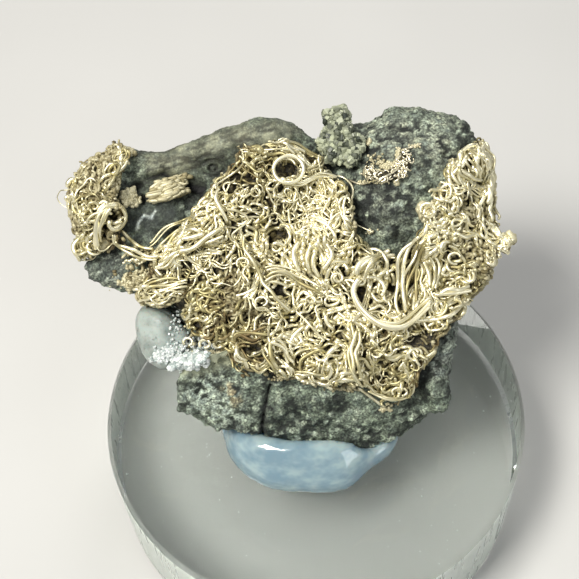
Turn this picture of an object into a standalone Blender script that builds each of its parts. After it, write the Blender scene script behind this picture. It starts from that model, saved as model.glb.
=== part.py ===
"""Native wire silver on dark matrix rock, fixed by a blob of clear glue to a round acrylic base.

Everything is in metres, +Z up. The origin is the centre of the base's underside.
The specimen leans back on the glue, so its rock, silver and crystals are modelled in a tilted
frame: u runs to the right, v runs up the silver face, and n stands out of that face.
"""

import math
import random

import bmesh
import bpy
from mathutils import Euler, Matrix, Vector, noise
from mathutils.bvhtree import BVHTree

MM = 0.001

# Acrylic base: a two inch disc cut from half inch sheet
BASE_RADIUS = 25.4 * MM
BASE_THICKNESS = 12.7 * MM
BASE_BEVEL = 0.5 * MM
BASE_STEPS = 72

# The specimen's tilted frame: where the silver face starts, and how far it leans from level
FACE_ORIGIN = Vector((0.0, -4.0, 26.5)) * MM
FACE_LEAN = math.radians(33.0)

# Clearance that touching pieces keep, and how finely a piece is remeshed to cut its neighbours
GAP = 0.45 * MM
CUTTER_VOXEL = 0.35 * MM

# How close points are joined, and how many times a mesh is gone over to close it
WELD_DISTANCE = 0.01 * MM
MEND_DISTANCE = 0.003 * MM
MEND_ROUNDS = 8
SHARP_ANGLE = math.radians(35)

# Rock: outline of the slab in u and v, and its side profile in v and n, in millimetres
ROCK_OUTLINE = (
    (-25.3, 15.0), (-25.6, 18.5), (-25.0, 21.5), (-24.0, 23.6), (-22.4, 24.8), (-20.6, 25.6),
    (-19.0, 25.7), (-17.0, 25.1), (-14.7, 25.7), (-12.9, 26.8), (-8.6, 28.1), (-4.9, 28.5),
    (-1.6, 27.7), (0.4, 26.2), (2.4, 26.8), (6.4, 28.5), (9.3, 29.5), (13.2, 30.0),
    (16.8, 28.6), (18.8, 26.2), (19.2, 21.4), (19.0, 17.0), (19.4, 14.2), (18.2, 10.2),
    (16.9, 7.4), (16.7, 4.4), (15.6, 1.8), (15.3, -2.2), (14.2, -4.9), (10.6, -7.8),
    (6.4, -9.9), (2.4, -9.2), (-2.0, -8.0), (-6.6, -6.8), (-11.4, -6.3), (-16.3, -3.7),
    (-15.6, -0.6), (-14.0, 1.6), (-13.8, 5.0), (-16.6, 8.6), (-19.6, 9.5), (-24.4, 10.6),
    (-25.7, 12.2),
)
ROCK_PROFILE = (
    (0.8, -1.0), (27.5, -1.2), (31.0, -4.0), (30.0, -8.0), (24.0, -11.4), (14.0, -13.8),
    (5.5, -14.0), (-2.0, -12.2), (-7.0, -9.8), (-10.4, -8.2), (-8.0, -6.6),
)
ROCK_SLAB = (-16.0 * MM, 2.0 * MM)
ROCK_SPAN = (-30.0 * MM, 30.0 * MM)
ROCK_END_THINNING = 0.4
ROCK_HALF_WIDTH = 26.0 * MM
ROCK_TAPER_START = 6.5 * MM
ROCK_TAPER = 0.0016 / MM
ROCK_CENTRE = Vector((0.0, 11.0)) * MM
ROCK_VOXEL = 0.6 * MM
ROCK_TRIANGLES = 2500
ROCK_ROUGHNESS = (
    (9 * MM, 1.0 * MM, "waves"),
    (4.2 * MM, 1.1 * MM, "lumps"),
    (2.0 * MM, 0.45 * MM, "waves"),
)
ROCK_NOISE_PLACE = Vector((3.1, 7.7, 1.3))

# Rounded bulges that stand out of the slab: centre u, v, n, radii, turn about n in degrees
ROCK_BULGES = (
    ((11.6, 20.7, -2.6), (8.9, 9.0, 5.0), 0),
    ((-7.4, 26.0, -2.2), (8.4, 2.5, 2.6), 7),
    ((-21.8, 18.4, -3.4), (4.2, 6.8, 4.0), 8),
    ((-21.2, 12.9, -3.6), (4.8, 3.4, 3.4), -12),
    ((-16.8, 22.8, -2.4), (3.0, 2.2, 2.4), 30),
    ((-15.0, 17.6, -2.6), (3.4, 3.0, 2.4), 25),
    ((-15.9, 20.5, -0.8), (1.9, 1.5, 1.3), 6),
    ((13.4, -1.2, -4.6), (2.1, 4.2, 3.2), 12),
    ((-11.0, 1.6, -2.8), (3.4, 1.5, 2.2), 10),
)

# Silver: outlines of the matted wire in u and v, in millimetres
SILVER_MAIN = (
    (-19.6, 8.6), (-18.0, 13.0), (-16.4, 15.0), (-14.4, 16.2), (-12.9, 18.1), (-11.8, 20.8),
    (-11.2, 23.4), (-8.9, 24.8), (-6.1, 25.2), (-2.8, 25.8), (-0.6, 25.6), (1.6, 24.2),
    (3.0, 22.4), (4.4, 20.6), (5.2, 17.9), (5.0, 15.2), (6.9, 13.2), (8.8, 11.4),
    (10.6, 13.6), (12.2, 16.0), (12.9, 18.2), (14.5, 20.1), (15.5, 22.4), (16.7, 24.0),
    (18.6, 25.4), (20.2, 24.2), (20.8, 20.4), (20.6, 16.6), (21.4, 13.8), (20.4, 11.6),
    (18.8, 9.2), (17.6, 7.4), (16.8, 5.2), (15.2, 2.8), (13.6, 0.6), (12.2, -1.4),
    (10.4, -3.4), (7.7, -4.1), (5.9, -2.8), (4.0, -1.4), (1.8, -0.9), (-1.5, -0.5),
    (-5.3, 0.1), (-6.9, 1.0), (-8.5, 3.3), (-10.7, 3.1), (-13.2, 4.2), (-14.7, 6.2),
    (-16.6, 7.9),
)
SILVER_LEFT = (
    (-26.6, 14.2), (-27.0, 17.6), (-26.4, 21.0), (-25.2, 23.8), (-23.4, 25.4), (-21.3, 26.6),
    (-19.9, 26.4), (-19.4, 24.6), (-20.4, 22.6), (-20.6, 20.6), (-20.2, 18.0), (-19.4, 15.8),
    (-16.8, 14.6), (-17.0, 13.0), (-20.2, 13.8), (-23.4, 13.4), (-25.4, 13.3),
)
SILVER_RIGHT = (
    (11.6, 8.6), (11.2, 13.0), (12.4, 16.4), (13.4, 19.0), (15.0, 21.6), (16.6, 24.4), (18.6, 26.4),
    (21.6, 25.2), (22.2, 20.4), (21.8, 16.0), (21.0, 11.6), (18.8, 7.6), (16.2, 6.4),
)
SILVER_THICKNESS = 1.7 * MM
SILVER_ROOT = -3.4 * MM
SILVER_LEFT_ROOT = -6.0 * MM
SILVER_RIGHT_ROOT = -8.0 * MM
SILVER_CEILING = 9.0 * MM
SILVER_VOXEL = 0.3 * MM
SILVER_TRIANGLES = 4800
SILVER_ROUGHNESS = (
    (7 * MM, 0.8 * MM, "waves"),
    (1.7 * MM, 0.7 * MM, "lumps"),
)
SILVER_NOISE_PLACE = Vector((11.3, 2.9, 5.1))

# Thick wires that show from a step away: points u, v and height over the mat, in millimetres,
# then the wire's radius
THICK_WIRES = (
    (((11.2, 12.4, 0.0), (8.3, 12.3, 0.5), (6.1, 11.4, 0.6), (4.6, 9.7, 0.7), (4.4, 7.7, 0.8),
      (5.4, 5.8, 0.9), (7.5, 4.7, 1.0), (9.7, 5.1, 1.0), (11.9, 6.4, 0.8), (13.4, 8.3, 0.5),
      (14.0, 10.6, 0.0)), 0.62),
    (((-19.0, 14.0, 0.0), (-21.2, 15.0, 0.5), (-22.6, 17.0, 0.6), (-22.8, 19.2, 0.6),
      (-21.6, 20.4, 0.6), (-20.3, 19.4, 0.6), (-20.6, 17.8, 0.6), (-21.8, 17.6, 0.4)), 0.5),
    (((-21.0, 16.6, 0.2), (-19.2, 14.2, 0.5), (-16.8, 13.0, 0.6), (-14.4, 13.6, 0.6),
      (-12.2, 15.4, 0.5), (-10.4, 17.8, 0.1)), 0.55),
    (((-11.9, 24.4, 0.0), (-12.5, 21.6, 0.5), (-11.6, 19.4, 0.5), (-10.4, 18.2, 0.0)), 0.42),
    (((12.2, 16.6, 0.1), (11.2, 13.8, 0.5), (10.6, 11.0, 0.6), (11.2, 8.0, 0.1)), 0.5),
    (((14.2, 17.4, 0.1), (12.8, 14.2, 0.5), (12.6, 11.4, 0.6), (13.2, 8.8, 0.1)), 0.5),
    (((15.6, 22.6, 0.1), (16.8, 19.8, 0.4), (17.0, 16.4, 0.4), (16.2, 13.2, 0.1)), 0.45),
    (((18.8, 15.4, 0.2), (20.8, 15.4, 0.3), (22.5, 15.0, 0.0), (22.3, 13.2, 0.0),
      (19.6, 12.4, 0.1)), 0.5),
    (((-6.2, 17.4, 0.1), (-3.8, 13.8, 0.6), (-2.4, 11.0, 0.6), (0.6, 7.6, 0.5),
      (3.4, 4.8, 0.5), (5.6, 2.2, 0.1)), 0.42),
    (((3.2, 3.6, 0.1), (4.6, 0.8, 0.5), (7.0, -2.0, 0.4), (8.6, -3.6, 0.3)), 0.45),
    (((12.4, 5.4, 0.1), (14.4, 5.8, 0.6), (15.6, 7.8, 0.6), (15.0, 9.8, 0.1)), 0.42),
)
RING_CENTRE = Vector((-2.0, 22.7)) * MM
RING_RADIUS = 1.6 * MM
RING_WIRE = 0.38 * MM
RING_TURN = 1.1 * math.tau
RING_STEPS = 17

# Small curls scattered over the mat
CURL_COUNT = 230
CURL_RADII = (0.7 * MM, 1.9 * MM)
CURL_WIRES = (0.27 * MM, 0.42 * MM)
CURL_LIFT = (0.3 * MM, 0.9 * MM)
CURL_SWEEP = (1.6, 4.6)
CURL_STEPS = 9
CURL_FIELD = ((-27, 22), (-4, 27))
CURL_SEED = 7

# Thin silver that fills a crack on the rock's dome
DOME_SILVER = (
    (5.6, 21.4), (7.2, 20.6), (9.4, 20.4), (11.0, 20.9), (11.8, 22.6), (11.4, 24.2),
    (10.2, 24.0), (9.6, 22.6), (8.0, 21.9), (6.6, 22.8),
)
DOME_SILVER_ROOT = -2.0 * MM
DOME_SILVER_THICKNESS = 1.3 * MM
DOME_SILVER_ROUGHNESS = ((1.3 * MM, 0.35 * MM, "lumps"),)
DOME_SILVER_NOISE_PLACE = Vector((4.0, 9.0, 2.0))
DOME_SILVER_TRIANGLES = 240

# Calcite lump at the left of the front, with a white crystal crust on its lower edge
LUMP_CENTRE = (-16.5, 5.6, -3.2)
LUMP_RADII = (3.5, 4.3, 3.2)
LUMP_TURN = 14
LUMP_ROUGHNESS = ((3.0 * MM, 0.8 * MM, "waves"), (1.6 * MM, 0.35 * MM, "lumps"))
LUMP_NOISE_PLACE = Vector((8.0, 1.0, 6.0))
LUMP_VOXEL = 0.4 * MM
LUMP_TRIANGLES = 300
DRUSE_PATH = (
    (-17.6, 3.2, -1.8), (-15.9, 2.1, -1.2), (-14.0, 1.8, -0.7), (-11.4, 2.5, 0.0), (-9.0, 3.1, 0.6),
)
DRUSE_CORE = 0.6 * MM
DRUSE_SPREAD = Vector((0.3, 0.5, 0.3)) * MM
DRUSE_COUNT = 44
DRUSE_SEED = 5
DRUSE_SIZE = (0.42 * MM, 0.8 * MM)
DRUSE_LEAN = 0.9
DRUSE_STRETCH = 1.3
DRUSE_SHAPE = {"segments": 6, "radius1": 0.85, "radius2": 0.15, "depth": 1.6, "cap_ends": True}
DRUSE_VOXEL = 0.2 * MM
DRUSE_TRIANGLES = 460

# Grey crystal cluster at the back edge, left of the dome
KNOB_CENTRES = (
    (3.0, 28.8, -1.4), (4.4, 28.7, -1.2), (4.6, 27.2, -0.8), (2.9, 27.2, -0.6), (2.3, 25.4, -0.2),
    (4.0, 25.6, 0.3), (5.6, 25.4, 0.4), (2.8, 23.5, 0.6), (4.4, 23.4, 1.2), (5.7, 24.2, 1.0),
)
KNOB_SIZE = 1.75 * MM
KNOB_SIZES = (0.75, 1.15)
KNOB_TURN = 1.5
KNOB_SHIFT = 0.5 * MM
KNOB_CUBES = 2
KNOB_SEED = 23
KNOB_VOXEL = 0.28 * MM
KNOB_TRIANGLES = 460

# Glue blob between the base and the rock
GLUE_CENTRE = Vector((-0.8, -1.6, 12.4)) * MM
GLUE_RADII = (11.2, 10.4, 6.4)
GLUE_BACK = ((0.0, 5.0, 13.6), (8.6, 6.0, 5.4))
GLUE_ROUGHNESS = ((7 * MM, 0.9 * MM, "waves"),)
GLUE_NOISE_PLACE = Vector((2.0, 5.0, 8.0))
GLUE_FLOOR = ((-40, -40), (40, -40), (40, 40), (-40, 40))
GLUE_FLOOR_DEPTH = -20 * MM
GLUE_FLOOR_GAP = 0.3 * MM
GLUE_VOXEL = 0.5 * MM
GLUE_TRIANGLES = 640


def clear_scene():
    """Remove what a new file holds."""
    for thing in list(bpy.data.objects):
        bpy.data.objects.remove(thing, do_unlink=True)


def new_collection(name):
    """A collection linked to the scene."""
    made = bpy.data.collections.new(name)
    bpy.context.scene.collection.children.link(made)
    return made


def finish(name, colour, roughness, metallic=0.0, transmission=0.0, ior=1.5):
    """A Principled material in one colour."""
    made = bpy.data.materials.new(name)
    made.use_nodes = True
    shader = made.node_tree.nodes["Principled BSDF"]
    shader.inputs["Base Color"].default_value = (*colour, 1.0)
    shader.inputs["Roughness"].default_value = roughness
    shader.inputs["Metallic"].default_value = metallic
    shader.inputs["Transmission Weight"].default_value = transmission
    shader.inputs["IOR"].default_value = ior
    return made


def add_object(name, data, collection, material=None):
    """Link an object that holds data, with its material."""
    made = bpy.data.objects.new(name, data)
    collection.objects.link(made)
    if material:
        data.materials.clear()
        data.materials.append(material)
    return made


def evaluated_mesh(thing, name):
    """The object's mesh with its modifiers applied, in the object's own frame."""
    bpy.context.view_layer.update()
    graph = bpy.context.evaluated_depsgraph_get()
    mesh = bpy.data.meshes.new_from_object(thing.evaluated_get(graph), depsgraph=graph)
    mesh.name = name
    return mesh


def discard(*things):
    """Remove working objects whose mesh has been taken."""
    for thing in things:
        bpy.data.objects.remove(thing, do_unlink=True)


def weld(mesh):
    """Join vertices that lie together."""
    work = bmesh.new()
    work.from_mesh(mesh)
    bmesh.ops.remove_doubles(work, verts=work.verts, dist=WELD_DISTANCE)
    bmesh.ops.recalc_face_normals(work, faces=work.faces)
    work.to_mesh(mesh)
    work.free()


def flat_prism(name, outline, low, high, collection):
    """A closed mesh from a flat outline in millimetres, extruded along its z from low to high."""
    curve = bpy.data.curves.new(name, "CURVE")
    curve.dimensions = "2D"
    curve.fill_mode = "BOTH"
    curve.extrude = (high - low) / 2
    spline = curve.splines.new("POLY")
    spline.points.add(len(outline) - 1)
    for point, (a, b) in zip(spline.points, outline):
        point.co = (a * MM, b * MM, 0.0, 1.0)
    spline.use_cyclic_u = True
    thing = add_object(name, curve, collection)
    mesh = evaluated_mesh(thing, name)
    discard(thing)
    mesh.transform(Matrix.Translation((0, 0, (low + high) / 2)))
    weld(mesh)
    return add_object(name, mesh, collection)


def ball(name, centre, radii, turn, collection, subdivisions=4):
    """A closed ellipsoid in millimetres, turned about its z by a number of degrees."""
    work = bmesh.new()
    bmesh.ops.create_icosphere(work, subdivisions=subdivisions, radius=1.0)
    place = Matrix.Translation(Vector(centre) * MM) @ Matrix.Rotation(math.radians(turn), 4, "Z")
    stretch = Matrix.Diagonal((*(r * MM for r in radii), 1.0))
    bmesh.ops.transform(work, matrix=place @ stretch, verts=work.verts)
    mesh = bpy.data.meshes.new(name)
    work.to_mesh(mesh)
    work.free()
    return add_object(name, mesh, collection)


def wire(name, points, radius, collection):
    """A closed round wire on a smooth curve along points, as a welded mesh."""
    curve = bpy.data.curves.new(name, "CURVE")
    curve.dimensions = "3D"
    curve.bevel_depth = radius
    curve.bevel_resolution = 2
    curve.use_fill_caps = True
    curve.resolution_u = 4
    spline = curve.splines.new("NURBS")
    spline.points.add(len(points) - 1)
    for point, place in zip(spline.points, points):
        point.co = (*place, 1.0)
    spline.order_u = 3
    spline.use_endpoint_u = True
    thing = add_object(name, curve, collection)
    mesh = evaluated_mesh(thing, name)
    discard(thing)
    weld(mesh)
    return add_object(name, mesh, collection)


def fused(name, things, voxel, collection):
    """One closed mesh round all the things, by a voxel remesh of them together."""
    work = bmesh.new()
    for thing in things:
        work.from_mesh(thing.data)
    mesh = bpy.data.meshes.new(name)
    work.to_mesh(mesh)
    work.free()
    discard(*things)
    joined = add_object(name, mesh, collection)
    remesh = joined.modifiers.new("Remesh", "REMESH")
    remesh.mode = "VOXEL"
    remesh.voxel_size = voxel
    result = evaluated_mesh(joined, name)
    discard(joined)
    return add_object(name, result, collection)


def with_boolean(thing, operation, other):
    """The thing after an exact Boolean with the other object, which is removed."""
    cut = thing.modifiers.new("Boolean", "BOOLEAN")
    cut.operation = operation
    cut.solver = "EXACT"
    cut.object = other
    mesh = evaluated_mesh(thing, thing.name)
    made = add_object(thing.name, mesh, thing.users_collection[0])
    made.matrix_world = thing.matrix_world
    discard(thing, other)
    return made


def evened(thing, voxel):
    """The thing's largest body, remeshed evenly, which also undoes any fold of its surface."""
    even = fused(thing.name, [thing], voxel, thing.users_collection[0])
    keep_largest(even.data)
    return even


def settled(thing, voxel, triangles):
    """The thing evened, then reduced to a number of triangles."""
    even = evened(thing, voxel)
    reduce = even.modifiers.new("Decimate", "DECIMATE")
    reduce.ratio = triangles / (2 * len(even.data.polygons))
    reduce.use_collapse_triangulate = True
    mesh = evaluated_mesh(even, even.name)
    mend(mesh)
    keep_largest(mesh)
    made = add_object(even.name, mesh, even.users_collection[0])
    discard(even)
    return made


def roughen(mesh, layers, offset):
    """Move each vertex along its normal by layers of noise.

    A layer is a size, a height and a kind: waves are smooth, lumps are rounded cells.
    """
    moves = []
    for vertex in mesh.vertices:
        total = 0.0
        for size, height, kind in layers:
            place = vertex.co / size + offset
            if kind == "waves":
                total += height * noise.noise(place)
            else:
                total += height * (0.5 - noise.voronoi(place)[0][0])
        moves.append(vertex.normal * total)
    for vertex, move in zip(mesh.vertices, moves):
        vertex.co += move


def keep_largest(mesh):
    """Delete every loose part but the one with most faces."""
    work = bmesh.new()
    work.from_mesh(mesh)
    left = set(work.faces)
    parts = []
    while left:
        start = left.pop()
        part = {start}
        edge_of_search = [start]
        while edge_of_search:
            face = edge_of_search.pop()
            for edge in face.edges:
                for other in edge.link_faces:
                    if other in left:
                        left.discard(other)
                        part.add(other)
                        edge_of_search.append(other)
        parts.append(part)
    parts.sort(key=len)
    small = [face for part in parts[:-1] for face in part]
    bmesh.ops.delete(work, geom=small, context="FACES")
    loose = [v for v in work.verts if not v.link_faces]
    bmesh.ops.delete(work, geom=loose, context="VERTS")
    work.to_mesh(mesh)
    work.free()


def mend(mesh):
    """Close what a Decimate leaves open, so that every edge has two faces."""
    work = bmesh.new()
    work.from_mesh(mesh)
    for _ in range(MEND_ROUNDS):
        bmesh.ops.remove_doubles(work, verts=work.verts, dist=MEND_DISTANCE)
        bmesh.ops.dissolve_degenerate(work, edges=work.edges, dist=MEND_DISTANCE)
        bmesh.ops.triangulate(work, faces=work.faces)
        crowded = {face for edge in work.edges if len(edge.link_faces) > 2 for face in edge.link_faces}
        bmesh.ops.delete(work, geom=list(crowded), context="FACES")
        pinched = [v for v in work.verts if v.link_faces and not v.is_manifold and not v.is_boundary]
        bmesh.ops.delete(work, geom=pinched, context="VERTS")
        loose = [edge for edge in work.edges if not edge.link_faces]
        bmesh.ops.delete(work, geom=loose, context="EDGES")
        bmesh.ops.delete(work, geom=[v for v in work.verts if not v.link_faces], context="VERTS")
        holes = [edge for edge in work.edges if edge.is_boundary]
        if not (crowded or pinched or holes):
            break
        bmesh.ops.holes_fill(work, edges=holes, sides=0)
    bmesh.ops.triangulate(work, faces=work.faces)
    bmesh.ops.recalc_face_normals(work, faces=work.faces)
    work.to_mesh(mesh)
    work.free()


def inflated(thing, name, distance, voxel, collection):
    """A closed copy that stands a distance proud of the thing, to cut its neighbours with."""
    copy = add_object(name, thing.data.copy(), collection)
    grow = copy.modifiers.new("Displace", "DISPLACE")
    grow.strength = distance
    grow.mid_level = 0.0
    remesh = copy.modifiers.new("Remesh", "REMESH")
    remesh.mode = "VOXEL"
    remesh.voxel_size = voxel
    mesh = evaluated_mesh(copy, name)
    discard(copy)
    cutter = add_object(name, mesh, collection)
    cutter.hide_render = True
    cutter.display_type = "WIRE"
    return cutter


def copy_of(cutter):
    """A second cutter with the same mesh."""
    made = cutter.copy()
    made.data = cutter.data.copy()
    cutter.users_collection[0].objects.link(made)
    return made


def acrylic_base(collection):
    """A turned disc with small bevelled edges: a profile spun about Z."""
    profile = (
        (0.0, BASE_THICKNESS),
        (BASE_RADIUS - BASE_BEVEL, BASE_THICKNESS),
        (BASE_RADIUS, BASE_THICKNESS - BASE_BEVEL),
        (BASE_RADIUS, BASE_BEVEL),
        (BASE_RADIUS - BASE_BEVEL, 0.0),
        (0.0, 0.0),
    )
    mesh = bpy.data.meshes.new("acrylic_base")
    edges = [(i, i + 1) for i in range(len(profile) - 1)]
    mesh.from_pydata([(r, 0.0, z) for r, z in profile], edges, [])
    clear = finish("clear_acrylic", (0.93, 0.95, 0.95), 0.03, transmission=1.0, ior=1.49)
    thing = add_object("acrylic_base", mesh, collection, clear)
    turn = thing.modifiers.new("Screw", "SCREW")
    turn.steps = BASE_STEPS
    turn.render_steps = BASE_STEPS
    turn.use_merge_vertices = True
    turn.merge_threshold = WELD_DISTANCE
    return thing


def matrix_rock(work):
    """The slab: its outline and side profile meet, bulges are fused on, and noise roughens it."""
    slab = flat_prism("slab", ROCK_OUTLINE, *ROCK_SLAB, work)
    profile = flat_prism("profile", ROCK_PROFILE, *ROCK_SPAN, work)
    # The profile is drawn in v and n, so its own x, y, z become v, n, u
    profile.data.transform(Matrix(((0, 0, 1, 0), (1, 0, 0, 0), (0, 1, 0, 0), (0, 0, 0, 1))))
    slab = with_boolean(slab, "INTERSECT", profile)
    bulges = [ball("bulge", c, r, turn, work) for c, r, turn in ROCK_BULGES]
    rock = fused("matrix_rock", [slab, *bulges], ROCK_VOXEL, work)
    for vertex in rock.data.vertices:
        u, v, n = vertex.co
        thin = 1 - ROCK_END_THINNING * min(1.0, abs(u) / ROCK_HALF_WIDTH) ** 2
        inward = 1 - ROCK_TAPER * max(0.0, -n - ROCK_TAPER_START) ** 2 / MM
        vertex.co = (
            ROCK_CENTRE.x + (u - ROCK_CENTRE.x) * inward,
            ROCK_CENTRE.y + (v - ROCK_CENTRE.y) * inward,
            n * thin if n < 0 else n,
        )
    rock.data.update()
    roughen(rock.data, ROCK_ROUGHNESS, ROCK_NOISE_PLACE)
    return settled(rock, ROCK_VOXEL, ROCK_TRIANGLES)


def inside(outline, u, v):
    """Whether a point lies in an outline given in millimetres, by counting crossings."""
    crossings = 0
    for (ax, ay), (bx, by) in zip(outline, outline[1:] + outline[:1]):
        if (ay > v) != (by > v) and u < (bx - ax) * (v - ay) / (by - ay) + ax:
            crossings += 1
    return crossings % 2 == 1


def well_inside(outline, u, v, margin):
    """Whether a point lies in an outline with a margin to spare on every side."""
    around = ((margin, 0), (-margin, 0), (0, margin), (0, -margin))
    return all(inside(outline, u + du, v + dv) for du, dv in around)


def surface_height(things):
    """A function that gives the highest point of the things over a place u, v."""
    work = bmesh.new()
    for thing in things:
        work.from_mesh(thing.data)
    tree = BVHTree.FromBMesh(work)
    work.free()

    def height(u, v, otherwise=0.0):
        hit = tree.ray_cast(Vector((u, v, 2 * SILVER_CEILING)), Vector((0, 0, -1)))[0]
        return hit.z if hit else otherwise

    return height


def layer_over(rock, outline, low, high, thickness, work):
    """A layer of even thickness over the rock, where an outline and two heights bound it."""
    layer = inflated(rock, "layer", thickness, SILVER_VOXEL, work)
    bounds = flat_prism("bounds", outline, low, high, work)
    return with_boolean(layer, "INTERSECT", bounds)


def small_curls(height, work):
    """Hooks and rings of wire, scattered by chance over the silver outlines."""
    chance = random.Random(CURL_SEED)
    made = []
    while len(made) < CURL_COUNT:
        u, v = (chance.uniform(*span) for span in CURL_FIELD)
        radius = chance.uniform(*CURL_RADII)
        if not any(well_inside(outline, u, v, radius / MM) for outline in (SILVER_MAIN, SILVER_LEFT)):
            continue
        start = chance.uniform(0, math.tau)
        sweep = chance.uniform(*CURL_SWEEP)
        lift = chance.uniform(*CURL_LIFT)
        ground = height(u * MM, v * MM)
        points = []
        for step in range(CURL_STEPS):
            t = step / (CURL_STEPS - 1)
            a = u * MM + radius * math.cos(start + sweep * t)
            b = v * MM + radius * math.sin(start + sweep * t)
            ground = max(ground - radius / 4, height(a, b, ground))
            points.append((a, b, ground + lift * math.sin(math.pi * t)))
        made.append(wire("curl", points, chance.uniform(*CURL_WIRES), work))
    return made


def wire_silver(rock, rock_cutter, work):
    """The matted wire: a layer that drapes the rock, with thick wires and small curls fused on."""
    mats = [
        layer_over(rock, SILVER_MAIN, SILVER_ROOT, SILVER_CEILING, SILVER_THICKNESS, work),
        layer_over(rock, SILVER_LEFT, SILVER_LEFT_ROOT, SILVER_CEILING, SILVER_THICKNESS, work),
        layer_over(rock, SILVER_RIGHT, SILVER_RIGHT_ROOT, SILVER_CEILING, SILVER_THICKNESS, work),
    ]
    height = surface_height(mats)
    wires = small_curls(height, work)
    for points, radius in THICK_WIRES:
        ground = 0.0
        places = []
        for u, v, lift in points:
            ground = height(u * MM, v * MM, ground)
            places.append(Vector((u * MM, v * MM, ground + lift * MM)))
        wires.append(wire("thick_wire", places, radius * MM, work))
    ring = []
    for step in range(RING_STEPS):
        angle = RING_TURN * step / (RING_STEPS - 1)
        u = RING_CENTRE.x + RING_RADIUS * math.cos(angle)
        v = RING_CENTRE.y + RING_RADIUS * math.sin(angle)
        ring.append(Vector((u, v, height(u, v) + RING_WIRE)))
    wires.append(wire("ring", ring, RING_WIRE, work))
    silver = fused("wire_silver", [*mats, *wires], SILVER_VOXEL, work)
    roughen(silver.data, SILVER_ROUGHNESS, SILVER_NOISE_PLACE)
    silver = evened(silver, SILVER_VOXEL)
    silver = with_boolean(silver, "DIFFERENCE", copy_of(rock_cutter))
    return settled(silver, SILVER_VOXEL, SILVER_TRIANGLES)


def dome_silver(rock, cutters, work):
    """A thin patch of silver that fills a crack on the dome."""
    patch = layer_over(
        rock, DOME_SILVER, DOME_SILVER_ROOT, SILVER_CEILING, DOME_SILVER_THICKNESS, work
    )
    patch = fused("dome_silver", [patch], SILVER_VOXEL, work)
    roughen(patch.data, DOME_SILVER_ROUGHNESS, DOME_SILVER_NOISE_PLACE)
    for cutter in cutters:
        patch = with_boolean(patch, "DIFFERENCE", copy_of(cutter))
    return settled(patch, SILVER_VOXEL, DOME_SILVER_TRIANGLES)


def calcite_lump(work, cutters):
    """A rounded grey lump beside the rock's front face."""
    lump = ball("calcite_lump", LUMP_CENTRE, LUMP_RADII, LUMP_TURN, work)
    lump = fused("calcite_lump", [lump], LUMP_VOXEL, work)
    roughen(lump.data, LUMP_ROUGHNESS, LUMP_NOISE_PLACE)
    for cutter in cutters:
        lump = with_boolean(lump, "DIFFERENCE", copy_of(cutter))
    return settled(lump, LUMP_VOXEL, LUMP_TRIANGLES)


def white_druse(work, cutters):
    """A crust of small pointed crystals, fused along the lump's lower edge."""
    chance = random.Random(DRUSE_SEED)
    path = [Vector(point) * MM for point in DRUSE_PATH]
    core = wire("core", path, DRUSE_CORE, work)
    crystals = bmesh.new()
    for _ in range(DRUSE_COUNT):
        stretch = chance.randrange(len(path) - 1)
        place = path[stretch].lerp(path[stretch + 1], chance.random())
        place += Vector([chance.gauss(0, spread) for spread in DRUSE_SPREAD])
        size = chance.uniform(*DRUSE_SIZE)
        lean = [chance.uniform(-DRUSE_LEAN, DRUSE_LEAN) for _ in range(2)]
        turn = Euler((*lean, chance.uniform(0, math.tau))).to_matrix().to_4x4()
        scale = Matrix.Diagonal((size, size, size * DRUSE_STRETCH, 1.0))
        matrix = Matrix.Translation(place) @ turn @ scale
        bmesh.ops.create_cone(crystals, matrix=matrix, **DRUSE_SHAPE)
    mesh = bpy.data.meshes.new("crystals")
    crystals.to_mesh(mesh)
    crystals.free()
    druse = fused("white_druse", [core, add_object("crystals", mesh, work)], DRUSE_VOXEL, work)
    for cutter in cutters:
        druse = with_boolean(druse, "DIFFERENCE", copy_of(cutter))
    return settled(druse, DRUSE_VOXEL, DRUSE_TRIANGLES)


def crystal_knob(work, cutters):
    """Blocky grey crystals grown together at the rock's back edge."""
    chance = random.Random(KNOB_SEED)
    blocks = bmesh.new()
    for centre in KNOB_CENTRES:
        for _ in range(KNOB_CUBES):
            size = KNOB_SIZE * chance.uniform(*KNOB_SIZES)
            turn = Euler([chance.uniform(0, KNOB_TURN) for _ in range(3)]).to_matrix().to_4x4()
            shift = Vector([chance.uniform(-KNOB_SHIFT, KNOB_SHIFT) for _ in range(3)])
            place = Matrix.Translation(Vector(centre) * MM + shift)
            bmesh.ops.create_cube(blocks, size=size, matrix=place @ turn)
    mesh = bpy.data.meshes.new("blocks")
    blocks.to_mesh(mesh)
    blocks.free()
    knob = fused("crystal_knob", [add_object("blocks", mesh, work)], KNOB_VOXEL, work)
    for cutter in cutters:
        knob = with_boolean(knob, "DIFFERENCE", copy_of(cutter))
    return settled(knob, KNOB_VOXEL, KNOB_TRIANGLES)


def glue_blob(work, rock_cutter):
    """The glue: squashed domes that fill the space between the base and the rock's underside."""
    dome = ball("glue_blob", GLUE_CENTRE / MM, GLUE_RADII, 0, work)
    back = ball("back", *GLUE_BACK, 0, work)
    glue = fused("glue_blob", [dome, back], GLUE_VOXEL, work)
    roughen(glue.data, GLUE_ROUGHNESS, GLUE_NOISE_PLACE)
    floor = flat_prism("floor", GLUE_FLOOR, GLUE_FLOOR_DEPTH, BASE_THICKNESS + GLUE_FLOOR_GAP, work)
    glue = evened(glue, GLUE_VOXEL)
    glue = with_boolean(glue, "DIFFERENCE", floor)
    glue = evened(glue, GLUE_VOXEL)
    glue = with_boolean(glue, "DIFFERENCE", rock_cutter)
    return settled(glue, GLUE_VOXEL, GLUE_TRIANGLES)


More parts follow.
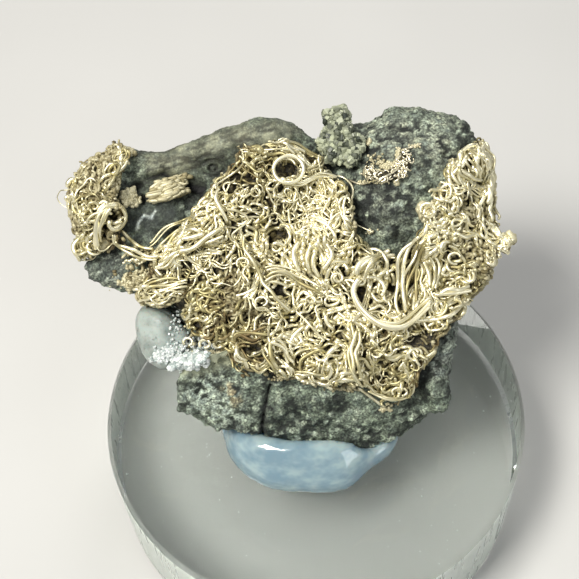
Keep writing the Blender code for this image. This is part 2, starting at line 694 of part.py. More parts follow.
def place(thing, name, collection, material, parent=None):
    """Give a finished shape its name, material, collection and parent."""
    thing.name = name
    thing.data.name = name
    thing.data.materials.clear()
    thing.data.materials.append(material)
    for holder in list(thing.users_collection):
        holder.objects.unlink(thing)
    collection.objects.link(thing)
    if parent:
        thing.parent = parent
    thing.data.shade_smooth()
    thing.data.set_sharp_from_angle(angle=SHARP_ANGLE)


def build():
    """Build every piece of the mounted specimen."""
    clear_scene()
    specimen = new_collection("native_silver_specimen")
    work = new_collection("cutters")

    tilt = bpy.data.objects.new("specimen_tilt", None)
    specimen.objects.link(tilt)
    tilt.location = FACE_ORIGIN
    tilt.rotation_euler = (FACE_LEAN, 0.0, 0.0)
    to_world = Matrix.Translation(FACE_ORIGIN) @ Matrix.Rotation(FACE_LEAN, 4, "X")

    acrylic_base(specimen)

    rock = matrix_rock(work)
    rock_cutter = inflated(rock, "rock_clearance", GAP, ROCK_VOXEL, work)
    silver = wire_silver(rock, rock_cutter, work)
    silver_cutter = inflated(silver, "silver_clearance", GAP, CUTTER_VOXEL, work)
    knob = crystal_knob(work, [rock_cutter, silver_cutter])
    knob_cutter = inflated(knob, "knob_clearance", GAP, CUTTER_VOXEL, work)
    patch = dome_silver(rock, [rock_cutter, silver_cutter, knob_cutter], work)
    lump = calcite_lump(work, [rock_cutter, silver_cutter])
    lump_cutter = inflated(lump, "lump_clearance", GAP, CUTTER_VOXEL, work)
    druse = white_druse(work, [rock_cutter, silver_cutter, lump_cutter])

    rock_in_world = copy_of(rock_cutter)
    rock_in_world.data.transform(to_world)
    glue = glue_blob(work, rock_in_world)

    dark_rock = finish("dark_matrix", (0.075, 0.08, 0.072), 0.7)
    bright_silver = finish("native_silver", (0.86, 0.8, 0.62), 0.35, metallic=1.0)
    grey_calcite = finish("grey_calcite", (0.45, 0.46, 0.47), 0.5)
    white_crystal = finish("white_crystal", (0.85, 0.88, 0.88), 0.3)
    grey_crystal = finish("grey_crystal", (0.3, 0.32, 0.29), 0.55)
    milky_glue = finish("milky_glue", (0.68, 0.74, 0.8), 0.15, transmission=0.4, ior=1.48)

    place(rock, "matrix_rock", specimen, dark_rock, tilt)
    place(silver, "wire_silver", specimen, bright_silver, tilt)
    place(patch, "dome_silver", specimen, bright_silver, tilt)
    place(lump, "calcite_lump", specimen, grey_calcite, tilt)
    place(druse, "white_druse", specimen, white_crystal, tilt)
    place(knob, "crystal_knob", specimen, grey_crystal, tilt)
    place(glue, "glue_blob", specimen, milky_glue)

    discard(rock_cutter, silver_cutter, knob_cutter, lump_cutter)
    bpy.context.view_layer.update()


build()
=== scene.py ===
"""Looks for a native silver specimen that leans on a blob of glue on a round acrylic base.

Places and sizes are in millimetres, and become metres where a mesh, a light or the camera is made.
Features of the specimen are placed by their pixel in the 579 x 579 photograph: the camera's ray through
that pixel is brought down onto the tilted silver face, so each of them lies on what carries it.
"""
import logging
import math
from collections.abc import Iterator, Sequence
from dataclasses import dataclass, field
from enum import Enum

import bmesh
import bpy
import numpy as np
from mathutils import Matrix


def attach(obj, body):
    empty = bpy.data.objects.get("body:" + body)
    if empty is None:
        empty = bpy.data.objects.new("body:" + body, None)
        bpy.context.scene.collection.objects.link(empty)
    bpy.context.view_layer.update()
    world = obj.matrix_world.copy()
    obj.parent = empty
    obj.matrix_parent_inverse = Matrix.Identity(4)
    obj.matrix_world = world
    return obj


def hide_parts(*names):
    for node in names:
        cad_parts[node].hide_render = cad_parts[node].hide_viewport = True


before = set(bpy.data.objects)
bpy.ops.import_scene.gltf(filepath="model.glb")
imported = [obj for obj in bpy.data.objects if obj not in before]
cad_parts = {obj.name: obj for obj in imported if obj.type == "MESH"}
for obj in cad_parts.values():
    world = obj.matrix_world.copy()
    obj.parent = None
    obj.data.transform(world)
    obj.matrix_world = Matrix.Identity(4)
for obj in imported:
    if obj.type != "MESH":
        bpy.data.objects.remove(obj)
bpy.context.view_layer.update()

LOG = logging.getLogger("native_silver")
MM = 0.001
ROOT = "root"
WELD = 1e-6
TAU = 2.0 * math.pi
DISPLAY_GAMMA = 2.2
RELIEF_CELL = 0.4
Array = np.ndarray
Pixel = tuple[float, float]
Spot = tuple[float, float, float]
Rgb = tuple[float, float, float]


def linear(red: float, green: float, blue: float) -> Rgb:
    """A display colour of 0 to 255 a channel as the linear colour that shaders take.

    Args:
        red, green, blue: The display colour's channels.

    Returns:
        The linear colour.
    """
    return tuple((c / 255.0) ** DISPLAY_GAMMA for c in (red, green, blue))


def linked(name: str, data: bpy.types.ID) -> bpy.types.Object:
    """Makes an object of a mesh, a lamp or a camera, and links it to the scene."""
    made = bpy.data.objects.new(name, data)
    bpy.context.scene.collection.objects.link(made)
    return made


def posed(name: str, data: bpy.types.ID, axes: Sequence[Array], place: Array) -> bpy.types.Object:
    """Links a lamp or a camera and turns it.

    Args:
        name: The object's name.
        data: The lamp or the camera.
        axes: Its own x, y and z directions.
        place: Where it stands, in metres.

    Returns:
        The object.
    """
    made = linked(name, data)
    world = np.eye(4)
    world[:3, :3] = np.stack(axes, 1)
    world[:3, 3] = place
    made.matrix_world = Matrix(world.tolist())
    return made


# The camera and the tilted face

@dataclass(frozen=True)
class Viewpoint:
    """The photograph's camera, from a fit to the four rim curves of the base."""

    elevation: float = math.radians(60.02)
    distance: float = 132.05
    aimed_at: tuple[float, float, float] = (0.0, 0.0, 12.7)
    yaw: float = -0.0195
    pitch: float = 0.1092
    roll: float = math.radians(-3.58)
    focal_px: float = 1074.3
    image_px: float = 579.0
    sensor_mm: float = 36.0

    def place(self) -> Array:
        """Where the camera stands, in millimetres."""
        back = np.array([0.0, -math.cos(self.elevation), math.sin(self.elevation)])
        return np.array(self.aimed_at) + self.distance * back

    def axes(self) -> Array:
        """The camera's right, up and forward directions.

        Forward is the ray to the base, shifted by yaw and pitch; right is level, then both roll.

        Returns:
            Three rows of unit vectors.
        """
        ahead = np.array([0.0, math.cos(self.elevation), -math.sin(self.elevation)])
        side = np.array([1.0, 0.0, 0.0])
        forward = ahead + self.yaw * side + self.pitch * np.cross(side, ahead)
        forward /= np.linalg.norm(forward)
        level = np.cross(forward, [0.0, 0.0, 1.0])
        level /= np.linalg.norm(level)
        upright = np.cross(level, forward)
        c, s = math.cos(self.roll), math.sin(self.roll)
        return np.array([c * level + s * upright, c * upright - s * level, forward])

    def rays(self, pixels: Array) -> Array:
        """The unit direction from the camera through each pixel.

        Args:
            pixels: Rows of x to the right and y down.

        Returns:
            Rows of unit vectors.
        """
        right, up, forward = self.axes()
        across = (pixels[..., :1] - self.image_px / 2) / self.focal_px
        down = (pixels[..., 1:2] - self.image_px / 2) / self.focal_px
        found = forward + across * right - down * up
        return found / np.linalg.norm(found, axis=-1, keepdims=True)

    def pixels(self, places: Array) -> Array:
        """The pixel at which each place is seen: the perspective division of its offset.

        Args:
            places: Rows of places in millimetres.

        Returns:
            Rows of x and y in pixels.
        """
        right, up, forward = self.axes()
        offset = places - self.place()
        depth = offset @ forward
        across, rise = offset @ right / depth, offset @ up / depth
        middle = self.image_px / 2
        return np.stack([middle + self.focal_px * across, middle - self.focal_px * rise], -1)

    def camera(self) -> bpy.types.Object:
        """Makes Blender's camera of it.

        Returns:
            The camera object.
        """
        data = bpy.data.cameras.new("photo_camera")
        data.sensor_width = self.sensor_mm
        data.lens = self.focal_px / self.image_px * self.sensor_mm
        data.clip_start, data.clip_end = 0.005, 10.0
        right, up, forward = self.axes()
        return posed("photo_camera", data, (right, up, -forward), self.place() * MM)


@dataclass(frozen=True)
class TiltedFace:
    """The leaning plane of the silver: u runs right, v runs up the face and n runs out of it."""

    origin: tuple[float, float, float] = (0.0, -4.0, 26.5)
    lean: float = math.radians(33.0)

    def axes(self) -> Array:
        """The directions of u, v and n as three rows."""
        c, s = math.cos(self.lean), math.sin(self.lean)
        return np.array([[1.0, 0.0, 0.0], [0.0, c, s], [0.0, -s, c]])

    def to_world(self, face: Array) -> Array:
        """Places in the row frame of (u, v, n) rows."""
        return np.array(self.origin) + face @ self.axes()

    def to_face(self, places: Array) -> Array:
        """The (u, v, n) rows of places in the row frame."""
        return (places - np.array(self.origin)) @ self.axes().T

    def below(self, view: Viewpoint, pixels: Array, height: Array) -> Array:
        """Where the camera's rays through pixels meet the plane at each height over the face.

        Args:
            view: The camera.
            pixels: Rows of pixels.
            height: n of the plane for each pixel.

        Returns:
            The (u, v, n) rows.
        """
        start = self.to_face(view.place())
        rays = view.rays(pixels) @ self.axes().T
        steps = (height - start[2]) / rays[..., 2]
        return start + rays * steps[..., None]


VIEW = Viewpoint()
FACE = TiltedFace()


# Noise and masks

def lattice(cells: Array, seed: int) -> Array:
    """A repeatable number from 0 to 1 for each whole-number cell: its indices times primes, mixed.

    Args:
        cells: Rows of three whole numbers.
        seed: Picks another pattern.

    Returns:
        One number a row.
    """
    cells = cells.astype(np.int64)
    mixed = cells[..., 0] * 73856093 ^ cells[..., 1] * 19349663 ^ cells[..., 2] * 83492791
    mixed = (mixed ^ (seed * 40503 + 977)) * 1274126177
    mixed = (mixed ^ (mixed >> 15)) * 668265263
    return ((mixed ^ (mixed >> 13)) & 0xFFFFFF) / float(0xFFFFFF)


def noise(points: Array, size: float, seed: int = 0) -> Array:
    """Value noise from -1 to 1: corner numbers of the cell, blended by a smooth step.

    Args:
        points: Rows of places.
        size: The cell's side, in the points' unit.
        seed: Picks another pattern.

    Returns:
        One number a row.
    """
    scaled = points / size
    cell = np.floor(scaled)
    part = scaled - cell
    part = part * part * (3.0 - 2.0 * part)
    total = np.zeros(points.shape[:-1])
    for corner in np.ndindex(2, 2, 2):
        picked = np.array(corner)
        weight = np.prod(np.where(picked, part, 1.0 - part), -1)
        total += weight * lattice(cell + picked, seed)
    return 2.0 * total - 1.0


def layered(points: Array, size: float, layers: int, seed: int = 0) -> Array:
    """The sum of noise at halving sizes and strengths, about -1 to 1.

    Args:
        points: Rows of places.
        size: The largest cell's side.
        layers: How many sizes.
        seed: Picks another pattern.

    Returns:
        One number a row.
    """
    strengths = [0.5**k for k in range(layers)]
    parts = [s * noise(points, size * s, seed + 11 * k) for k, s in enumerate(strengths)]
    return sum(parts) / sum(strengths)


def grains(points: Array, size: float, seed: int = 0) -> tuple[Array, Array]:
    """Cell noise: how far each place is from the nearest of the jittered grain centres.

    Args:
        points: Rows of places.
        size: The mean spacing of the grains.
        seed: Picks another pattern.

    Returns:
        The distance in grain sizes, and a number from 0 to 1 that names the grain.
    """
    scaled = points / size
    home = np.floor(scaled)
    nearest = np.full(points.shape[:-1], 9.0)
    name = np.zeros(points.shape[:-1])
    for corner in np.ndindex(3, 3, 3):
        cell = home + np.array(corner) - 1.0
        jitter = np.stack([lattice(cell, seed + k) for k in (1, 2, 3)], -1)
        far = np.linalg.norm(cell + jitter - scaled, axis=-1)
        closer = far < nearest
        nearest = np.where(closer, far, nearest)
        name = np.where(closer, jitter[..., 0], name)
    return nearest, name


def spot(pixels: Array, centre: Pixel, radius: float) -> Array:
    """A round soft mask: 1 at centre, falling with the square of the distance over radius.

    Args:
        pixels: Rows of pixels.
        centre: The spot's middle.
        radius: Where the mask is down to about a third.

    Returns:
        One number from 0 to 1 a row.
    """
    offset = (pixels - np.array(centre)) / radius
    return np.exp(-(offset**2).sum(-1))


def spots(pixels: Array, places: Sequence[Spot]) -> Array:
    """Several spots of (x, y, radius) joined: the largest of their masks."""
    return np.max([spot(pixels, (x, y), r) for x, y, r in places], axis=0)


def off_line(pixels: Array, line: Sequence[Pixel]) -> Array:
    """The distance in pixels from each pixel to the nearest point of a bent line.

    Args:
        pixels: Rows of pixels.
        line: The line's corners.

    Returns:
        One distance a row.
    """
    found = np.full(pixels.shape[:-1], 1e9)
    for a, b in zip(np.array(line[:-1], float), np.array(line[1:], float)):
        share = np.clip((pixels - a) @ (b - a) / ((b - a) @ (b - a)), 0.0, 1.0)
        found = np.minimum(found, np.linalg.norm(pixels - a - share[..., None] * (b - a), axis=-1))
    return found


def margin(pixels: Array, outline: Sequence[Pixel]) -> Array:
    """How far inside an outline each pixel lies: its distance to the nearest side, below 0 outside.

    A pixel is inside if a level line from it crosses the sides an odd number of times.

    Args:
        pixels: Rows of pixels.
        outline: The outline's corners.

    Returns:
        One distance a row.
    """
    closed = (*outline, outline[0])
    x, y = pixels[..., 0], pixels[..., 1]
    inside = np.zeros(x.shape, bool)
    for (ax, ay), (bx, by) in zip(closed[:-1], closed[1:]):
        if ay != by:
            inside ^= ((ay > y) != (by > y)) & (x < (bx - ax) * (y - ay) / (by - ay) + ax)
    return np.where(inside, 1.0, -1.0) * off_line(pixels, closed)


def groove(pixels: Array, line: Sequence[Pixel], half_width: float) -> Array:
    """A soft mask along a bent line: 1 on it, about a third at its half width."""
    return np.exp(-((off_line(pixels, line) / half_width) ** 2))


def blended(under: Array | Rgb, over: Array | Rgb, share: Array) -> Array:
    """Mixes two colours, or colours row by row, by one share a row: under at 0 and over at 1."""
    share = np.clip(share, 0.0, 1.0)[..., None]
    return np.asarray(under) * (1.0 - share) + np.asarray(over) * share


def unit(vectors: Array) -> Array:
    """Each row at length 1."""
    return vectors / np.maximum(np.linalg.norm(vectors, axis=-1, keepdims=True), 1e-9)


# Surfaces

def gathered(index: Array, rows: Array, size: int) -> Array:
    """Adds up the rows that share an index, column by column.

    Args:
        index: Where each row goes.
        rows: The rows to add.
        size: How many sums there are.

    Returns:
        One row of sums for each index.
    """
    columns = [np.bincount(index, rows[:, k], minlength=size) for k in range(rows.shape[1])]
    return np.stack(columns, -1)


def round_about(points: Array, low: Array, cell: float, shape: Array) -> Iterator[tuple[tuple, Array]]:
    """The cells of a grid round each point, one corner at a time.

    Args:
        points: Rows of places.
        low: The grid's lowest corner.
        cell: The cells' side.
        shape: How many cells the grid has each way.

    Yields:
        The cells' indices, and their weights, which add up to 1 over the corners.
    """
    scaled = np.clip((points - low) / cell - 0.5, 0.0, np.array(shape) - 2.001)
    home = scaled.astype(int)
    part = scaled - home
    for corner in np.ndindex(*(2,) * len(low)):
        picked = np.array(corner)
        yield tuple((home + picked).T), np.prod(np.where(picked, part, 1.0 - part), -1)


@dataclass
class Skin:
    """A closed surface as arrays: points in millimetres, and faces of four and three corners."""

    points: Array
    quads: Array = field(default_factory=lambda: np.zeros((0, 4), np.int64))
    triangles: Array = field(default_factory=lambda: np.zeros((0, 3), np.int64))
    tones: dict[str, Array] = field(default_factory=dict)
    slots: Array | None = None

    @classmethod
    def of_node(cls, name: str, voxel: float) -> "Skin":
        """A CAD node's solid, merged and drawn again in even squares.

        Args:
            name: The CAD node.
            voxel: The squares' side.

        Returns:
            The surface.
        """
        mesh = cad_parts[name].data.copy()
        work = bmesh.new()
        work.from_mesh(mesh)
        bmesh.ops.remove_doubles(work, verts=work.verts, dist=WELD)
        work.to_mesh(mesh)
        work.free()
        thing = linked("draft_" + name, mesh)
        remesh = thing.modifiers.new("even", "REMESH")
        remesh.mode, remesh.voxel_size = "VOXEL", voxel * MM
        drawn = thing.evaluated_get(bpy.context.evaluated_depsgraph_get()).to_mesh()
        points = np.zeros(len(drawn.vertices) * 3, np.float32)
        drawn.vertices.foreach_get("co", points)
        corners = np.zeros(len(drawn.loops), np.int32)
        drawn.loops.foreach_get("vertex_index", corners)
        bpy.data.objects.remove(thing)
        return cls(points.reshape(-1, 3).astype(float) / MM, corners.reshape(-1, 4).astype(np.int64))

    @classmethod
    def joined(cls, skins: Sequence["Skin"]) -> "Skin":
        """Several surfaces as one, with their tones.

        Args:
            skins: The surfaces, each with the same tones.

        Returns:
            The joined surface.
        """
        starts = np.cumsum([0] + [len(s.points) for s in skins])
        return cls(
            np.concatenate([s.points for s in skins]),
            np.concatenate([s.quads + k for s, k in zip(skins, starts)]),
            np.concatenate([s.triangles + k for s, k in zip(skins, starts)]),
            {t: np.concatenate([s.tones[t] for s in skins]) for t in skins[0].tones},
        )

    def count(self) -> int:
        """How many triangles the surface has."""
        return 2 * len(self.quads) + len(self.triangles)

    def facings(self) -> Array:
        """Unit normals at the points: the sum of the crossed diagonals of the faces round each.

        Returns:
            One unit vector a point.
        """
        p, index, rows = self.points, [], []
        for faces, (a, b, c, d) in ((self.quads, (0, 2, 1, 3)), (self.triangles, (0, 1, 0, 2))):
            crossed = np.cross(p[faces[:, b]] - p[faces[:, a]], p[faces[:, d]] - p[faces[:, c]])
            index.append(faces.ravel())
            rows.append(np.repeat(crossed, faces.shape[1], 0))
        return unit(gathered(np.concatenate(index), np.concatenate(rows), len(p)))

    def eased(self, times: int, share: float = 0.5) -> "Skin":
        """Smooths the surface: each point moves a share of the way to its neighbours' mean.

        Args:
            times: How often.
            share: How far each time.

        Returns:
            The surface itself.
        """
        a = self.quads.ravel()
        b = np.roll(self.quads, -1, 1).ravel()
        near, far = np.concatenate([a, b]), np.concatenate([b, a])
        known = np.bincount(near, minlength=len(self.points))[:, None]
        for _ in range(times):
            mean = gathered(near, self.points[far], len(self.points)) / np.maximum(known, 1)
            self.points = self.points + share * (mean - self.points)
        return self

    def pushed(self, amount: Array | float) -> "Skin":
        """Moves each point along its normal by its amount."""
        self.points = self.points + self.facings() * np.reshape(amount, (-1, 1))
        return self

    def made(self, name: str, slot: str, finishes: Sequence[bpy.types.Material],
             replaces: Sequence[str] = (), smooth: bool = True) -> bpy.types.Object:
        """Puts the surface into a mesh object that rides on the specimen.

        Args:
            name: The piece's name.
            slot: The record's material slot; not used.
            finishes: Its materials, by slot number.
            replaces: The CAD nodes that it stands for.
            smooth: Whether its faces are shaded as one curve.

        Returns:
            The object.
        """
        mesh = bpy.data.meshes.new(name)
        corners = np.concatenate([self.quads.ravel(), self.triangles.ravel()])
        sizes = np.repeat([4, 3], [len(self.quads), len(self.triangles)])
        mesh.vertices.add(len(self.points))
        mesh.vertices.foreach_set("co", (self.points * MM).astype(np.float32).ravel())
        mesh.loops.add(len(corners))
        mesh.loops.foreach_set("vertex_index", corners.astype(np.int32))
        mesh.polygons.add(len(sizes))
        mesh.polygons.foreach_set("loop_start", (np.cumsum(sizes) - sizes).astype(np.int32))
        mesh.update(calc_edges=True)
        mesh.polygons.foreach_set("use_smooth", np.full(len(sizes), smooth))
        if self.slots is not None:
            mesh.polygons.foreach_set("material_index", self.slots.astype(np.int32))
        for tone, rows in self.tones.items():
            kind = "FLOAT" if rows.ndim == 1 else "FLOAT_COLOR"
            full = rows if rows.ndim == 1 else np.concatenate([rows, np.ones((len(rows), 1))], 1)
            held = mesh.attributes.new(tone, kind, "POINT")
            held.data.foreach_set("value" if rows.ndim == 1 else "color",
                                  full.astype(np.float32).ravel())
        for finish in finishes:
            mesh.materials.append(finish)
        thing = linked(name, mesh)
        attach(thing, ROOT)
        if replaces:
            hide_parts(*replaces)
        LOG.info("%s: %d triangles", name, self.count())
        return thing


def ringed(points: Array, rings: int, columns: int, tones: dict[str, Array]) -> Skin:
    """Many forms of one make as one surface: rings of points, closed by a point at each end.

    Args:
        points: Forms by points by three: each form's rings in turn, then its two end points.
        rings: Rings in a form.
        columns: Points in a ring.
        tones: The points' attributes.

    Returns:
        The surface.
    """
    k, i = np.arange(rings - 1)[:, None] * columns, np.arange(columns)
    j, last = np.roll(i, -1), (rings - 1) * columns
    pole = np.full(columns, rings * columns)
    wall = np.stack([k + i, k + j, k + columns + j, k + columns + i], -1).reshape(-1, 4)
    ends = np.concatenate([np.stack([pole, j, i], -1), np.stack([pole + 1, last + i, last + j], -1)])
    starts = np.arange(len(points))[:, None, None] * points.shape[1]
    return Skin(points.reshape(-1, 3), (wall + starts).reshape(-1, 4), (ends + starts).reshape(-1, 3), tones)


def tubes(paths: Array, radii: Array, tone: Array, sides: int, flat: float = 0.75) -> Skin:
    """Wires: an oval ring of points square to the path at each step, closed by a point at each end.

    The ring's frame starts level with the tilted face and is laid square to each next step.

    Args:
        paths: Wires by steps by three, in millimetres.
        radii: Wires by steps.
        tone: How tarnished each wire is at each step, with painted shade on the deeper wires, from 0 to 1.
        sides: Points in a ring.
        flat: The oval's height over its width.

    Returns:
        One surface with all the wires.
    """
    wires, steps, _ = paths.shape
    ahead = unit(np.gradient(paths, axis=1))
    side = np.cross(ahead[:, 0], np.array([0.03, -0.52, 0.85]))
    rings = np.zeros((wires, steps, sides, 3))
    turn = np.arange(sides) * TAU / sides
    for k in range(steps):
        side = unit(side - ahead[:, k] * (side * ahead[:, k]).sum(-1, keepdims=True))
        other = flat * np.cross(ahead[:, k], side)
        round_ = (np.cos(turn)[None, :, None] * side[:, None] + np.sin(turn)[None, :, None] * other[:, None])
        rings[:, k] = paths[:, k, None] + radii[:, k, None, None] * round_
    tips = np.stack([paths[:, 0] - 0.6 * radii[:, :1] * ahead[:, 0],
                     paths[:, -1] + 0.6 * radii[:, -1:] * ahead[:, -1]], 1)
    points = np.concatenate([rings.reshape(wires, -1, 3), tips], 1)
    tarnish = np.concatenate([np.repeat(tone, sides, axis=1), tone[:, :1], tone[:, -1:]], 1)
    return ringed(points, steps, sides, {"tarnish": tarnish.ravel()})


def turned(count: int, random: np.random.Generator) -> Array:
    """Random rotations: the axes of two random vectors made square to each other.

    Args:
        count: How many.
        random: The source of the draws.

    Returns:
        Rotations as count by three by three.
    """
    first = unit(random.normal(size=(count, 3)))
    second = unit(np.cross(first, random.normal(size=(count, 3))))
    return np.stack([first, second, np.cross(first, second)], 1)


def blocks(centres: Array, sizes: Array, rotations: Array, squareness: float, tone: Array,
           columns: int = 6, bands: int = 4) -> Skin:
    """Rounded blocks: superellipsoids, whose cosines and sines are raised to a power below 1.

    Args:
        centres: The blocks' middles.
        sizes: Half sizes along each block's own axes.
        rotations: Each block's axes as rows.
        squareness: The power, 1 for an egg and near 0 for a brick.
        tone: One number or colour a block.
        columns: Points round each ring.
        bands: Bands of faces between the poles.

    Returns:
        One surface with all the blocks.
    """
    def bent(wave: Array) -> Array:
        """A cosine or sine raised to the power, with its sign."""
        return np.sign(wave) * np.abs(wave) ** squareness

    rise = (np.arange(1, bands) / bands - 0.5) * math.pi
    turn = (np.arange(columns) + 0.5) * TAU / columns
    ring = bent(np.cos(rise))[:, None]
    grid = np.stack([ring * bent(np.cos(turn)), ring * bent(np.sin(turn)),
                     np.broadcast_to(bent(np.sin(rise))[:, None], (bands - 1, columns))], -1)
    shape = np.concatenate([grid.reshape(-1, 3), [[0, 0, -1.0], [0, 0, 1.0]]])
    placed = np.einsum("pk,nk,nkc->npc", shape, sizes, rotations) + centres[:, None]
    tones = {"tarnish" if tone.ndim == 1 else "stain": np.repeat(tone, len(shape), axis=0)}
    return ringed(placed, bands - 1, columns, tones)


def bend(corners: Array, count: int) -> Array:
    """A smooth curve through corner points: Catmull-Rom pieces, evenly spaced along the corners.

    Args:
        corners: Rows of any width.
        count: How many points to give back.

    Returns:
        The curve's points.
    """
    held = np.concatenate([2 * corners[:1] - corners[1:2], corners, 2 * corners[-1:] - corners[-2:-1]])
    length = np.concatenate([[0.0], np.cumsum(np.linalg.norm(np.diff(corners[:, :2], axis=0), axis=1))])
    along = np.interp(np.linspace(0.0, length[-1], count), length, np.arange(len(corners)))
    k = np.minimum(along.astype(int), len(corners) - 2)
    t = (along - k)[:, None]
    a, b, c, d = held[k], held[k + 1], held[k + 2], held[k + 3]
    return 0.5 * (2 * b + (c - a) * t + (2 * a - 5 * b + 4 * c - d) * t**2 + (3 * b - a - 3 * c + d) * t**3)


# Sliding along a surface

class Ground:
    """Mean place and facing of a surface in small cells, on which wires are laid."""

    def __init__(self, skin: Skin, cell: float, keep: Array | None = None) -> None:
        """Adds up the points and normals in each cell, then spreads the sums over the cells nearby.

        Args:
            skin: The surface.
            cell: The cells' side.
            keep: Which of its points to use.
        """
        facings = skin.facings()
        keep = np.ones(len(facings), bool) if keep is None else keep
        self.places, self.facings, self.cell = skin.points[keep], facings[keep], cell
        self.low = self.places.min(0) - 4 * cell
        self.shape = ((self.places.max(0) + 4 * cell - self.low) / cell).astype(int) + 2
        flat = np.ravel_multi_index(((self.places - self.low) / cell).astype(int).T, self.shape)
        rows = np.concatenate([np.ones((len(flat), 1)), self.places, self.facings], 1)
        sums = gathered(flat, rows, int(np.prod(self.shape))).reshape(*self.shape, 7)
        for axis in (0, 1, 2):
            sums = (np.roll(sums, 1, axis) + 2 * sums + np.roll(sums, -1, axis)) / 4
        self.sums = sums

    def at(self, points: Array) -> tuple[Array, Array, Array]:
        """The surface near points: sums blended between the eight cells round each.

        Args:
            points: Rows of places.

        Returns:
            The mean place, the unit normal, and whether there is any surface there.
        """
        total = np.zeros((len(points), 7))
        for cells, weight in round_about(points, self.low, self.cell, self.shape):
            total += weight[:, None] * self.sums[cells]
        known = total[:, 0] > 0.05
        shared = np.maximum(total[:, :1], 1e-6)
        return total[:, 1:4] / shared, unit(total[:, 4:]), known

    def walk(self, start: Array, heading: Array, facing: Array, lift: Array, turns: Array,
             step: Array) -> tuple[Array, Array]:
        """Wires that creep over the surface: each step goes ahead, comes down to its lift, and turns.

        A wire that runs off the surface curls up tightly in the plane that it left.

        Args:
            start: Where each wire begins.
            heading: Its first direction.
            facing: The surface's normal there.
            lift: Its height over the surface at each step.
            turns: How far it turns at each step, in radians.
            step: Its step length.

        Returns:
            The paths, wires by steps by three, and at how many steps each was off the surface.
        """
        paths = np.zeros(turns.shape + (3,))
        lost = np.zeros(len(turns), int)
        place, ahead, normal = start.copy(), heading.copy(), facing.copy()
        lost_turn = 0.55 * np.where(turns.sum(1) < 0, -1.0, 1.0)
        for k in range(turns.shape[1]):
            mean, found, known = self.at(place)
            known &= (found * normal).sum(-1) > 0.2
            lost += ~known
            normal = np.where(known[:, None], found, normal)
            off = ((place - mean) * normal).sum(-1, keepdims=True)
            down = np.where(known[:, None], lift[:, k, None] - off, 0.0)
            place = place + normal * np.clip(down, -0.35, 0.35)
            paths[:, k] = place
            turn = np.where(known, turns[:, k], lost_turn)[:, None]
            ahead = ahead - normal * (ahead * normal).sum(-1, keepdims=True)
            ahead = unit(ahead * np.cos(turn) + np.cross(normal, ahead) * np.sin(turn))
            place = place + ahead * step[:, None]
        return paths, lost


class Relief:
    """The height of the specimen's front over the tilted face, on a grid of u and v."""

    def __init__(self, points: Array, cell: float) -> None:
        """Keeps the highest point in each cell, fills cells without one, and smooths them.

        Args:
            points: The front's points in the row frame.
            cell: The cells' side.
        """
        face = FACE.to_face(points)
        self.low, self.cell = face[:, :2].min(0) - 4 * cell, cell
        self.shape = ((face[:, :2].max(0) + 4 * cell - self.low) / cell).astype(int) + 2
        i, j = ((face[:, :2] - self.low) / cell).astype(int).T
        grid = np.full(self.shape, -99.0)
        np.maximum.at(grid, (i, j), face[:, 2])
        self.filled = grid > -90.0
        for _ in range(8):
            around = np.max([np.roll(grid, k, a) for a in (0, 1) for k in (-1, 1)], axis=0)
            grid = np.where(grid < -90.0, around, grid)
        for _ in range(2):
            around = sum(np.roll(grid, k, a) for a in (0, 1) for k in (-1, 1)) / 4
            grid = 0.5 * grid + 0.5 * around
        self.grid = grid

    def height(self, face: Array) -> Array:
        """The height at each u and v, blended between the four cells round it.

        Args:
            face: Rows that start with u and v.

        Returns:
            One height a row.
        """
        total = np.zeros(len(face))
        for cells, weight in round_about(face[:, :2], self.low, self.cell, self.shape):
            total += weight * self.grid[cells]
        return total

    def drape(self, pixels: Array, lift: Array | float) -> Array:
        """Where the front, raised by lift, is seen at each pixel.

        Args:
            pixels: Rows of pixels.
            lift: The height over the front.

        Returns:
            The (u, v, n) rows.
        """
        height = np.zeros(len(pixels))
        for _ in range(4):
            height = self.height(FACE.below(VIEW, pixels, height)) + lift
        return FACE.below(VIEW, pixels, height)

    def scattered(self, random: np.random.Generator, centre: Pixel, spread: Pixel, count: int,
                  lift: tuple[float, float]) -> Array:
        """Places strewn about a pixel on the front, without those that miss it.

        Args:
            random: The source of the draws.
            centre: The middle of the places, in pixels.
            spread: How far they spread across and down, in pixels.
            count: How many are drawn.
            lift: The lowest and highest over the front.

        Returns:
            The places in the row frame.
        """
        pixels = random.normal(centre, spread, (count, 2))
        face = self.drape(pixels, random.uniform(*lift, count))
        i, j = ((face[:, :2] - self.low) / self.cell).astype(int).T
        return FACE.to_world(face[self.filled[i, j]])


# Shader maths

class Value:
    """One shader value. Arithmetic on it adds Math nodes."""

    def __init__(self, graph: "Graph", socket: bpy.types.NodeSocket) -> None:
        """Keeps the socket and the graph that it belongs to."""
        self.graph, self.socket = graph, socket

    def maths(self, operation: str, *others: "Value | float") -> "Value":
        """A Math node's result on this value and the others."""
        inputs = dict(enumerate((self, *others)))
        return self.graph.node("ShaderNodeMath", {"operation": operation}, inputs)

    def __add__(self, other: "Value | float") -> "Value":
        """The sum."""
        return self.maths("ADD", other)

    def __mul__(self, other: "Value | float") -> "Value":
        """The product."""
        return self.maths("MULTIPLY", other)

    def __sub__(self, other: "Value | float") -> "Value":
        """The difference."""
        return self.maths("SUBTRACT", other)

    def __rsub__(self, other: float) -> "Value":
        """A number less this value."""
        return self.graph.node("ShaderNodeMath", {"operation": "SUBTRACT"}, {0: other, 1: self})

    __radd__, __rmul__ = __add__, __mul__

    def clamped(self) -> "Value":
        """The value held between 0 and 1."""
        return self.graph.node("ShaderNodeClamp", {}, {0: self})


